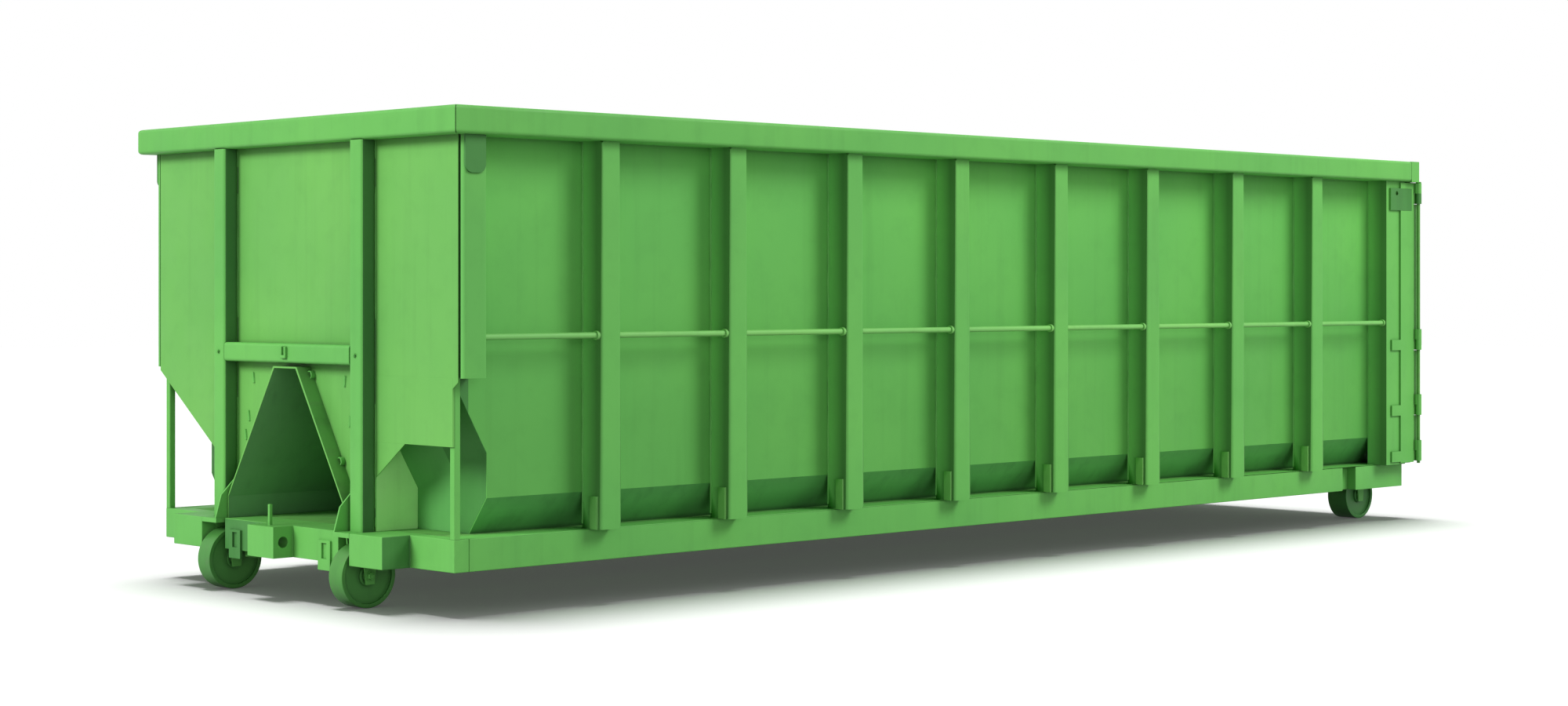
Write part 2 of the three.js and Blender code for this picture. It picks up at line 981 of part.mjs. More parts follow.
function makeHingeRod() {
  const low = hingeHeights[0] - hingeRodOverhang;
  const high = hingeHeights[hingeHeights.length - 1] + 2 * knuckleHeight + 2 * fitGap;
  const at = [hingeX, hingeY];
  const shaft = rod("z", at, hingeRodRadius, low, high + hingeRodHeadHeight, rodSides);
  const head = rod("z", at, hingeRodHead, high, high + hingeRodHeadHeight, rodSides);
  addPiece("hinge_rod", shaft.add(head), bareSteel);
}

// The hollow inside the door's frame, bars and top member, drained at the foot.
function doorCavity(openingHalf, barHeights) {
  const front = doorFront + tubeWall;
  const rear = doorRear - tubeWall;
  const side = doorHalf - tubeWall;
  const foot = doorBottom + tubeWall;
  const head = doorTop - tubeWall;
  const footInner = doorBottom + doorFrameWidth - tubeWall;
  const headInner = doorTop - doorFrameWidth + tubeWall;
  const ring = box(front, rear, -side, side, foot, head).subtract(
    box(
      front - cutOverrun,
      rear + cutOverrun,
      -openingHalf - tubeWall,
      openingHalf + tubeWall,
      footInner,
      headInner,
    ),
  );
  const pieces = [
    ring,
    box(front, rear, -side, side, doorTop + tubeWall, overallHeight - tubeWall),
    box(front, rear, -openingHalf, openingHalf, head - tubeWall, doorTop + 2 * tubeWall),
    rod("z", [(front + rear) / 2, 0], drainRadius, doorBottom - cutOverrun, footInner, barSides),
  ];
  for (const z of barHeights) {
    pieces.push(
      box(
        doorFront + sheetThickness,
        doorFront + sheetThickness + doorBarDepth - tubeWall,
        -openingHalf - 2 * tubeWall,
        openingHalf + 2 * tubeWall,
        z - doorBarWidth / 2 + tubeWall,
        z + doorBarWidth / 2 - tubeWall,
      ),
    );
  }
  return joinAll(pieces);
}

function makeDoor() {
  const frame = box(doorFront, doorRear, -doorHalf, doorHalf, doorBottom, doorTop);
  const openingHalf = doorHalf - doorFrameWidth;
  const panelFront = doorFront + sheetThickness;
  const dish = box(
    panelFront,
    doorRear + cutOverrun,
    -openingHalf,
    openingHalf,
    doorBottom + doorFrameWidth,
    doorTop - doorFrameWidth,
  );
  const top = box(doorFront, doorRear, -half, half, doorTop, overallHeight);
  const clearHeight = doorTop - doorBottom;
  const barHeights = [];
  for (let i = 1; i <= doorBarCount; i += 1) {
    barHeights.push(doorBottom + (clearHeight * i) / (doorBarCount + 1));
  }
  const bars = barHeights.map((z) =>
    box(
      panelFront,
      panelFront + doorBarDepth,
      -openingHalf,
      openingHalf,
      z - doorBarWidth / 2,
      z + doorBarWidth / 2,
    ),
  );
  const shell = joinAll([frame.subtract(dish), top, ...bars]);
  const pieces = [shell.subtract(doorCavity(openingHalf, barHeights))];
  for (const height of hingeHeights) {
    const z = height + knuckleHeight + fitGap;
    pieces.push(
      box(
        doorRear,
        doorRear + strapThickness,
        hingeY,
        hingeY + doorStrapLength,
        z,
        z + knuckleHeight,
      ).subtract(hingeBoreThrough(z)),
      knuckle(z),
    );
  }
  for (let i = 0; i < 2; i += 1) {
    const y = boltTipY - boltGuideWidth - i * boltGuideSpacing;
    const guide = box(
      panelFront,
      boltX + boltGuideWidth / 2,
      y - boltGuideWidth,
      y,
      boltHeight - boltGuideWidth / 2,
      boltHeight + boltGuideWidth / 2,
    );
    const bore = rod(
      "y",
      [boltX, boltHeight],
      boreRadius(boltRadius, boltClearance, rodSides),
      y - boltGuideWidth - cutOverrun,
      y + cutOverrun,
      rodSides,
    );
    pieces.push(guide.subtract(bore));
  }
  addPiece("rear_door", joinAll(pieces));
}

function makeBolt() {
  const bolt = rod("y", [boltX, boltHeight], boltRadius, boltTipY - boltLength, boltTipY, rodSides);
  const handleY = boltTipY - 2 * boltGuideWidth - boltTravel - boltGuideWidth / 2;
  const handle = rod(
    "z",
    [boltX, handleY],
    boltHandleRadius,
    boltHeight - boltHandleLength,
    boltHeight,
    barSides,
  );
  addPiece("door_bolt", bolt.add(handle), bareSteel);
}

makeFloor();
makeFrontSheet();
makeCornerCover();
makeDoghouse();
makeTopRails();
makeCrossTube();
makeNoseBeam();
makeUnderframe();
for (const [side, name] of [[-1, "near"], [1, "far"]]) {
  makeSideSheet(side, name);
  makeCornerPlates(side, name);
  makeFrontPost(side, name);
  makeCorner(side, name);
  makeBaseFront(side, name);
  makeBaseRail(side, name);
  for (let i = 0; i < ribCount; i += 1) makeRib(side, name, i);
  makeTieBar(side, name);
  makeRollers(side, name);
  makeRearPost(side, name);
}
makeKeeper();
makeHingeRod();
makeDoor();
makeBolt();

export default root;
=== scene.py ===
"""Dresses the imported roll-off dumpster: rolled tubes, welds, bolts, rollers, paint and a white studio."""

import json
import logging
import math
from collections.abc import Callable
from dataclasses import dataclass
from enum import Enum

import bpy
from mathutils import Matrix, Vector


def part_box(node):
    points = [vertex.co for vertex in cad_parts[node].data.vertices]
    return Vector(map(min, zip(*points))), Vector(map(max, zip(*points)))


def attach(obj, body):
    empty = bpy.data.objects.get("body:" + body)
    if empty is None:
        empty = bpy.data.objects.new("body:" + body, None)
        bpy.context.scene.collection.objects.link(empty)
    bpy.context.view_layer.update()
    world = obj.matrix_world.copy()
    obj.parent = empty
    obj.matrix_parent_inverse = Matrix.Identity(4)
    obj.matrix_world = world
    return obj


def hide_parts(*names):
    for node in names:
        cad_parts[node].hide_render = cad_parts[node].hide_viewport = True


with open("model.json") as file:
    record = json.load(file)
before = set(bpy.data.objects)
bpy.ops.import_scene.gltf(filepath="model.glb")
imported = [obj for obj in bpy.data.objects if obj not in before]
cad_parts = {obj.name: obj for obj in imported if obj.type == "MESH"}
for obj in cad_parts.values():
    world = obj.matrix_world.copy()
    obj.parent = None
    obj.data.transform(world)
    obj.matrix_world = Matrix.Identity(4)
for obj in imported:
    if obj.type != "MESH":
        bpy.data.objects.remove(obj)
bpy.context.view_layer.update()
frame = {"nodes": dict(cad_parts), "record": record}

NEAR = "near"
FAR = "far"
RIB_COUNT = 8
log = logging.getLogger("dumpster")


class Look(Enum):
    """The finishes of the container. Some are darker or lighter copies of the green paint: painted shade
    and painted light.
    """

    WALL = "wall_paint"
    FRAME = "frame_paint"
    FRONT = "front_paint"
    # Darker copy of the paint: painted shade in recesses and on shaded faces.
    RECESS_SHADE = "recess_shade_paint"
    # Darker copy of the paint: painted shade on the sides of posts.
    FLANK_SHADE = "flank_shade_paint"
    # Lighter copy of the paint ramped to painted shade towards a rib side's outer edge: painted light and
    # shade.
    RIB_SIDE_SHADE = "rib_side_shade_paint"
    # Darker copy of the paint: painted shade on the downward-facing skirt.
    SKIRT_SHADE = "skirt_shade_paint"
    # Lighter copy of the paint: painted light on the tie bars and the ribs' foot plates.
    PAINTED_LIGHT = "painted_light_paint"
    # Darker copy of the paint: painted shade inside the tunnel.
    TUNNEL_SHADE = "tunnel_shade_paint"
    # Darker copy of the paint: painted shade on the plates behind the cut corners.
    BULKHEAD_SHADE = "bulkhead_shade_paint"
    # Much lighter copy of the paint: a painted sunlit patch on the plates behind the cut corners.
    LIT_PATCH = "lit_patch_paint"
    ROLLER = "roller_paint"
    TREAD = "worn_tread"
    INSIDE = "inside_paint"
    PIN = "greased_pin"


class Axis(Enum):
    """The three directions of the container."""

    X = 0
    Y = 1
    Z = 2


def linear(value: float) -> float:
    """Turns one channel of a screen colour from 0 to 255 into linear light.

    Args:
        value: The channel as it shows on a screen.

    Returns:
        The linear value from 0 to 1.
    """
    share = value / 255
    return share / 12.92 if share <= 0.04045 else ((share + 0.055) / 1.055) ** 2.4


@dataclass(frozen=True)
class PaintedSteel:
    """Satin enamel on rolled plate, faded in patches, with dirt and painted shade in its corners."""

    name: str
    colour: tuple[int, int, int]
    fade: float = 0.05
    streaks: float = 0.03
    # Ambient-occlusion darkening where plates meet: painted shade, partly also dirt.
    corner_dirt_and_shade: float = 0.5
    # How much darker the paint grows towards the foot of a wall.
    foot_darkening: float = 0.0
    # Painted shade from a rib's root to its outer edge.
    side_shade: float = 0.0
    wear: float = 0.0
    roughness: float = 0.52
    metallic: float = 0.0
    grain: float = 0.25

    def build(self) -> bpy.types.Material:
        """Builds the paint's nodes.

        Returns:
            The material.
        """
        material = bpy.data.materials.new(self.name)
        material.use_nodes = True
        tree = material.node_tree
        shader = tree.nodes["Principled BSDF"]
        shader.inputs["Metallic"].default_value = self.metallic
        shader.inputs["Specular IOR Level"].default_value = 0.22
        place = tree.nodes.new("ShaderNodeTexCoord")
        base = [linear(c) for c in self.colour]
        colour = self._blotches(tree, place, base)
        colour = self._streaks(tree, place, colour, base)
        if self.foot_darkening:
            colour = self._foot_darkening(tree, place, colour, base)
        if self.side_shade:
            colour = self._side_shade(tree, place, colour, base)
        if self.wear:
            colour = self._wear(tree, place, colour)
        colour = self._corner_dirt_and_shade(tree, colour, base)
        tree.links.new(colour, shader.inputs["Base Color"])
        self._gloss(tree, place, shader)
        self._relief(tree, place, shader)
        return material

    def _noise(
        self,
        tree: bpy.types.NodeTree,
        place: bpy.types.Node,
        scale: float,
        stretch: tuple[float, float, float] = (1.0, 1.0, 1.0),
        detail: float = 3.0,
    ) -> bpy.types.NodeSocket:
        """Adds a noise on Object coordinates.

        Args:
            tree: The material's node tree.
            place: The Texture Coordinate node.
            scale: Noise scale, per metre.
            stretch: Scale of the coordinates on each axis.
            detail: Octaves of detail.

        Returns:
            The noise's Fac output.
        """
        mapping = tree.nodes.new("ShaderNodeMapping")
        mapping.inputs["Scale"].default_value = stretch
        noise = tree.nodes.new("ShaderNodeTexNoise")
        noise.inputs["Scale"].default_value = scale
        noise.inputs["Detail"].default_value = detail
        tree.links.new(place.outputs["Object"], mapping.inputs["Vector"])
        tree.links.new(mapping.outputs["Vector"], noise.inputs["Vector"])
        return noise.outputs["Fac"]

    def _ramp(
        self,
        tree: bpy.types.NodeTree,
        source: bpy.types.NodeSocket,
        span: tuple[float, float],
        result: tuple[float, float],
    ) -> bpy.types.NodeSocket:
        """Maps a range of a value to another one.

        Args:
            tree: The material's node tree.
            source: The value.
            span: Source values at which the result starts and ends.
            result: First and last result.

        Returns:
            The mapped value.
        """
        node = tree.nodes.new("ShaderNodeMapRange")
        limits = (*span, *result)
        for name, value in zip(("From Min", "From Max", "To Min", "To Max"), limits):
            node.inputs[name].default_value = value
        tree.links.new(source, node.inputs["Value"])
        return node.outputs["Result"]

    def _mix(
        self,
        tree: bpy.types.NodeTree,
        share: bpy.types.NodeSocket,
        first: bpy.types.NodeSocket | list[float],
        second: bpy.types.NodeSocket | list[float],
    ) -> bpy.types.NodeSocket:
        """Mixes two colours.

        Args:
            tree: The material's node tree.
            share: How much of the second colour shows.
            first: A colour or a socket.
            second: A colour or a socket.

        Returns:
            The mixed colour.
        """
        node = tree.nodes.new("ShaderNodeMix")
        node.data_type = "RGBA"
        tree.links.new(share, node.inputs["Factor"])
        for index, value in ((6, first), (7, second)):
            if isinstance(value, bpy.types.NodeSocket):
                tree.links.new(value, node.inputs[index])
            else:
                node.inputs[index].default_value = (*value, 1.0)
        return node.outputs[2]

    def _blotches(
        self, tree: bpy.types.NodeTree, place: bpy.types.Node, base: list[float]
    ) -> bpy.types.NodeSocket:
        """Fades the paint in soft patches of half a metre and of a hand's width.

        Args:
            tree: The material's node tree.
            place: The Texture Coordinate node.
            base: The paint's linear colour.

        Returns:
            The faded colour.
        """
        dark = [c * (1 - self.fade) for c in base]
        light = [min(1.0, base[0] * (1 + 2 * self.fade)), base[1] * (1 + self.fade), base[2]]
        wide = self._ramp(tree, self._noise(tree, place, 1.1), (0.35, 0.65), (0.0, 1.0))
        broad = self._mix(tree, wide, dark, light)
        speckle = self._noise(tree, place, 11.0, detail=5.0)
        small = self._ramp(tree, speckle, (0.5, 0.85), (0.0, 0.3))
        return self._mix(tree, small, broad, [c * 0.75 for c in base])

    def _streaks(
        self,
        tree: bpy.types.NodeTree,
        place: bpy.types.Node,
        colour: bpy.types.NodeSocket,
        base: list[float],
    ) -> bpy.types.NodeSocket:
        """Runs faint rain streaks down the paint.

        Args:
            tree: The material's node tree.
            place: The Texture Coordinate node.
            colour: The colour so far.
            base: The paint's linear colour.

        Returns:
            The streaked colour.
        """
        fine = self._noise(tree, place, 5.0, (3.0, 3.0, 0.16), 4.0)
        share = self._ramp(tree, fine, (0.52, 0.9), (0.0, self.streaks * 6))
        return self._mix(tree, share, colour, [c * 0.35 for c in base])

    def _foot_darkening(
        self,
        tree: bpy.types.NodeTree,
        place: bpy.types.Node,
        colour: bpy.types.NodeSocket,
        base: list[float],
    ) -> bpy.types.NodeSocket:
        """Darkens the paint towards the foot of a wall.

        Args:
            tree: The material's node tree.
            place: The Texture Coordinate node.
            colour: The colour so far.
            base: The paint's linear colour.

        Returns:
            The darkened colour.
        """
        split = tree.nodes.new("ShaderNodeSeparateXYZ")
        tree.links.new(place.outputs["Object"], split.inputs[0])
        share = self._ramp(tree, split.outputs["Z"], (0.75, 1.65), (self.foot_darkening, 0.0))
        return self._mix(tree, share, colour, [c * 0.25 for c in base])

    def _side_shade(
        self,
        tree: bpy.types.NodeTree,
        place: bpy.types.Node,
        colour: bpy.types.NodeSocket,
        base: list[float],
    ) -> bpy.types.NodeSocket:
        """Darkens the paint from a rib's root to its outer edge: painted shade on the rib's side.

        Args:
            tree: The material's node tree.
            place: The Texture Coordinate node.
            colour: The colour so far.
            base: The paint's linear colour.

        Returns:
            The shaded colour.
        """
        split = tree.nodes.new("ShaderNodeSeparateXYZ")
        tree.links.new(place.outputs["Object"], split.inputs[0])
        depth = tree.nodes.new("ShaderNodeMath")
        depth.operation = "ABSOLUTE"
        tree.links.new(split.outputs["Y"], depth.inputs[0])
        share = self._ramp(tree, depth.outputs[0], (1.06, 1.14), (0.0, self.side_shade))
        return self._mix(tree, share, colour, [c * 0.22 for c in base])

    def _wear(
        self, tree: bpy.types.NodeTree, place: bpy.types.Node, colour: bpy.types.NodeSocket
    ) -> bpy.types.NodeSocket:
        """Scuffs the paint to dull steel in scattered scratches.

        Args:
            tree: The material's node tree.
            place: The Texture Coordinate node.
            colour: The colour so far.

        Returns:
            The scuffed colour.
        """
        along = self._noise(tree, place, 7.0, (0.25, 2.5, 2.5), 6.0)
        share = self._ramp(tree, along, (0.55, 0.72), (0.0, self.wear))
        return self._mix(tree, share, colour, [0.16, 0.15, 0.12])

    def _corner_dirt_and_shade(
        self, tree: bpy.types.NodeTree, colour: bpy.types.NodeSocket, base: list[float]
    ) -> bpy.types.NodeSocket:
        """Darkens the paint where plates meet, from ambient occlusion: painted shade in corners and along
        joints, partly also dirt.

        Args:
            tree: The material's node tree.
            colour: The colour so far.
            base: The paint's linear colour.

        Returns:
            The colour with its painted shade and dirt.
        """
        # A wide and a narrow ambient occlusion darken the colour: painted shade in corners and along
        # joints.
        for reach, strength in ((0.1, self.corner_dirt_and_shade * 0.7), (0.018, self.corner_dirt_and_shade)):
            corner = tree.nodes.new("ShaderNodeAmbientOcclusion")
            corner.samples = 4
            corner.inputs["Distance"].default_value = reach
            share = self._ramp(tree, corner.outputs["AO"], (0.3, 0.95), (strength, 0.0))
            colour = self._mix(tree, share, colour, [c * 0.22 for c in base])
        return colour

    def _gloss(
        self, tree: bpy.types.NodeTree, place: bpy.types.Node, shader: bpy.types.Node
    ) -> None:
        """Varies the roughness in patches.

        Args:
            tree: The material's node tree.
            place: The Texture Coordinate node.
            shader: The Principled shader.
        """
        noise = self._noise(tree, place, 6.0, detail=4.0)
        limits = (self.roughness - 0.07, self.roughness + 0.09)
        tree.links.new(self._ramp(tree, noise, (0.3, 0.7), limits), shader.inputs["Roughness"])

    def _relief(
        self, tree: bpy.types.NodeTree, place: bpy.types.Node, shader: bpy.types.Node
    ) -> None:
        """Gives the plate its rolled waves and the paint its fine skin.

        Args:
            tree: The material's node tree.
            place: The Texture Coordinate node.
            shader: The Principled shader.
        """
        waves = tree.nodes.new("ShaderNodeBump")
        waves.inputs["Strength"].default_value = 0.35
        waves.inputs["Distance"].default_value = 0.006
        tree.links.new(self._noise(tree, place, 2.6, detail=1.0), waves.inputs["Height"])
        skin = tree.nodes.new("ShaderNodeBump")
        skin.inputs["Strength"].default_value = self.grain
        skin.inputs["Distance"].default_value = 0.0006
        tree.links.new(self._noise(tree, place, 160.0, detail=2.0), skin.inputs["Height"])
        tree.links.new(waves.outputs["Normal"], skin.inputs["Normal"])
        tree.links.new(skin.outputs["Normal"], shader.inputs["Normal"])


# Several finishes below are darker or lighter copies of the green paint: painted shade and painted light.
FINISHES = {
    Look.WALL: PaintedSteel("wall_paint", (108, 194, 93), foot_darkening=0.2),
    Look.FRAME: PaintedSteel("frame_paint", (108, 191, 93), corner_dirt_and_shade=0.4),
    Look.FRONT: PaintedSteel("front_paint", (115, 192, 94), foot_darkening=0.05),
    # Painted shade for recesses and shaded faces.
    Look.RECESS_SHADE: PaintedSteel("recess_shade_paint", (74, 140, 70), corner_dirt_and_shade=0.5, streaks=0.06),
    # Painted shade for the skirt.
    Look.SKIRT_SHADE: PaintedSteel("skirt_shade_paint", (92, 170, 90), corner_dirt_and_shade=0.6, streaks=0.08),
    # Painted shade for the sides of posts.
    Look.FLANK_SHADE: PaintedSteel("flank_shade_paint", (68, 122, 65), fade=0.06, corner_dirt_and_shade=0.5),
    # Painted light at a rib side's root, painted shade towards its outer edge.
    Look.RIB_SIDE_SHADE: PaintedSteel("rib_side_shade_paint", (134, 220, 120), side_shade=0.75, corner_dirt_and_shade=0.2),
    # Painted light for the tie bars and the ribs' foot plates.
    Look.PAINTED_LIGHT: PaintedSteel("painted_light_paint", (134, 210, 114), fade=0.06, corner_dirt_and_shade=0.2),
    # Painted shade for the inside of the tunnel.
    Look.TUNNEL_SHADE: PaintedSteel("tunnel_shade_paint", (100, 160, 100), fade=0.05, streaks=0.05, corner_dirt_and_shade=0.4),
    # Painted shade for the plates behind the cut corners.
    Look.BULKHEAD_SHADE: PaintedSteel("bulkhead_shade_paint", (97, 172, 93), fade=0.06, corner_dirt_and_shade=0.2),
    # Painted light: a sunlit patch behind the cut corners.
    Look.LIT_PATCH: PaintedSteel("lit_patch_paint", (168, 238, 146), fade=0.05, corner_dirt_and_shade=0.1),
    Look.ROLLER: PaintedSteel("roller_paint", (84, 158, 80), fade=0.2, corner_dirt_and_shade=0.7, roughness=0.42),
    Look.TREAD: PaintedSteel(
        "worn_tread", (78, 150, 74), fade=0.25, wear=0.2, corner_dirt_and_shade=0.5, roughness=0.4, metallic=0.1
    ),
    Look.INSIDE: PaintedSteel(
        "inside_paint", (100, 172, 86), fade=0.12, streaks=0.12, wear=0.22, corner_dirt_and_shade=0.5, roughness=0.78
    ),
    Look.PIN: PaintedSteel("greased_pin", (96, 168, 82), fade=0.12, wear=0.25, roughness=0.42),
}


@dataclass
class Studio:
    """White floor and backdrop, plain soft lamps and the photograph's camera."""

    floor_size: float = 90.0
    camera_place: tuple[float, float, float] = (-9.8391, -9.7158, 1.3343)
    camera_turn: float = -44.05
    lens: float = 60.72
    shift_y: float = -0.0407

    def build(self) -> None:
        """Builds the floor, the lamps, the world and the camera."""
        self._floor()
        self._world()
        self._sun("front_key", (-0.85, 0.22, 0.5), 0.84, 24.0, False)
        self._sun("side_fill", (-0.4, -1.0, 0.1), 0.28, 40.0, False)
        self._softbox("side_key", (8.0, -13.0, 12.5), 0.56, 9.0)
        self._sun("floor_light", (0.06, 0.12, 1.0), 0.97, 26.0, True)
        self._camera()

    def _seen(self, tree: bpy.types.NodeTree) -> bpy.types.NodeSocket:
        """Finds whether a ray comes from the camera, a gloss or a clear surface.

        Args:
            tree: The node tree of the floor or the world.

        Returns:
            One for such a ray and zero for the light that bounces.
        """
        path = tree.nodes.new("ShaderNodeLightPath")
        total = path.outputs["Is Camera Ray"]
        for name in ("Is Glossy Ray", "Is Transmission Ray"):
            add = tree.nodes.new("ShaderNodeMath")
            add.operation = "ADD"
            add.use_clamp = True
            tree.links.new(total, add.inputs[0])
            tree.links.new(path.outputs[name], add.inputs[1])
            total = add.outputs[0]
        return total

    def _floor(self) -> None:
        """Lays the plain pale floor, which throws little light back at the container."""
        bpy.ops.mesh.primitive_plane_add(size=self.floor_size, location=(0, 0, -0.001))
        floor = bpy.context.object
        floor.name = "studio_floor"
        material = bpy.data.materials.new("floor_white")
        material.use_nodes = True
        tree = material.node_tree
        shader = tree.nodes["Principled BSDF"]
        shader.inputs["Roughness"].default_value = 1.0
        shader.inputs["Specular IOR Level"].default_value = 0.0
        tone = tree.nodes.new("ShaderNodeMix")
        tone.data_type = "RGBA"
        tone.inputs[6].default_value = (0.24, 0.24, 0.24, 1)
        tone.inputs[7].default_value = (0.97, 0.97, 0.97, 1)
        tree.links.new(self._seen(tree), tone.inputs["Factor"])
        tree.links.new(tone.outputs[2], shader.inputs["Base Color"])
        shader.inputs["Emission Color"].default_value = (1, 0.92, 1, 1)
        shader.inputs["Emission Strength"].default_value = 0.06
        floor.data.materials.append(material)
        self.floor = floor

    def _world(self) -> None:
        """Lights the scene from all round and shows white behind it."""
        world = bpy.data.worlds.new("studio")
        bpy.context.scene.world = world
        world.use_nodes = True
        tree = world.node_tree
        tree.nodes.clear()
        light = tree.nodes.new("ShaderNodeBackground")
        light.inputs["Strength"].default_value = 0.17
        seen = tree.nodes.new("ShaderNodeBackground")
        seen.inputs["Strength"].default_value = 1.0
        for node in (light, seen):
            node.inputs["Color"].default_value = (1, 1, 1, 1)
        mix = tree.nodes.new("ShaderNodeMixShader")
        output = tree.nodes.new("ShaderNodeOutputWorld")
        tree.links.new(self._seen(tree), mix.inputs[0])
        tree.links.new(light.outputs[0], mix.inputs[1])
        tree.links.new(seen.outputs[0], mix.inputs[2])
        tree.links.new(mix.outputs[0], output.inputs["Surface"])

    def _hang(self, name: str, data: bpy.types.Light, towards: Vector, for_floor: bool) -> None:
        """Hangs a lamp and says whether it lights the floor or the container.

        Args:
            name: The lamp's name.
            data: The lamp's settings.
            towards: The lamp's place, as seen from the container.
            for_floor: True for the floor's own lamp.
        """
        lamp = bpy.data.objects.new(name, data)
        lamp.location = towards
        lamp.rotation_euler = towards.to_track_quat("Z", "Y").to_euler()
        bpy.context.scene.collection.objects.link(lamp)
        flag = bpy.data.collections.new(name + "_flag")
        flag.objects.link(self.floor)
        if not for_floor:
            flag.collection_objects[0].light_linking.link_state = "EXCLUDE"
        lamp.light_linking.receiver_collection = flag

    def _sun(
        self,
        name: str,
        towards: tuple[float, float, float],
        level: float,
        softness: float,
        for_floor: bool,
    ) -> None:
        """Adds a sun.

        Args:
            name: The lamp's name.
            towards: Direction from the container to the lamp.
            level: Light on a face that looks at the lamp, where 1 shows a colour as written.
            softness: The lamp's width in degrees.
            for_floor: True for the floor's own lamp.
        """
        data = bpy.data.lights.new(name, "SUN")
        data.energy = level * math.pi
        data.angle = math.radians(softness)
        self._hang(name, data, Vector(towards) * 10, for_floor)

    def _softbox(
        self, name: str, place: tuple[float, float, float], level: float, width: float
    ) -> None:
        """Adds a round softbox that points at the container's middle.

        Args:
            name: The lamp's name.
            place: Where it hangs.
            level: Light on a face at the middle that looks at it.
            width: Its width in metres.
        """
        data = bpy.data.lights.new(name, "AREA")
        data.shape = "DISK"
        data.size = width
        spot = Vector(place)
        data.energy = level * math.pi**2 * spot.length_squared
        self._hang(name, data, spot, False)

    def _camera(self) -> None:
        """Places the camera where the photograph was taken."""
        data = bpy.data.cameras.new("photograph")
        data.sensor_width = 36.0
        data.lens = self.lens
        data.shift_y = self.shift_y
        data.clip_end = 300.0
        camera = bpy.data.objects.new("photograph", data)
        camera.location = self.camera_place
        camera.rotation_euler = (math.pi / 2, 0.0, math.radians(self.camera_turn))
        bpy.context.scene.collection.objects.link(camera)
        bpy.context.scene.camera = camera


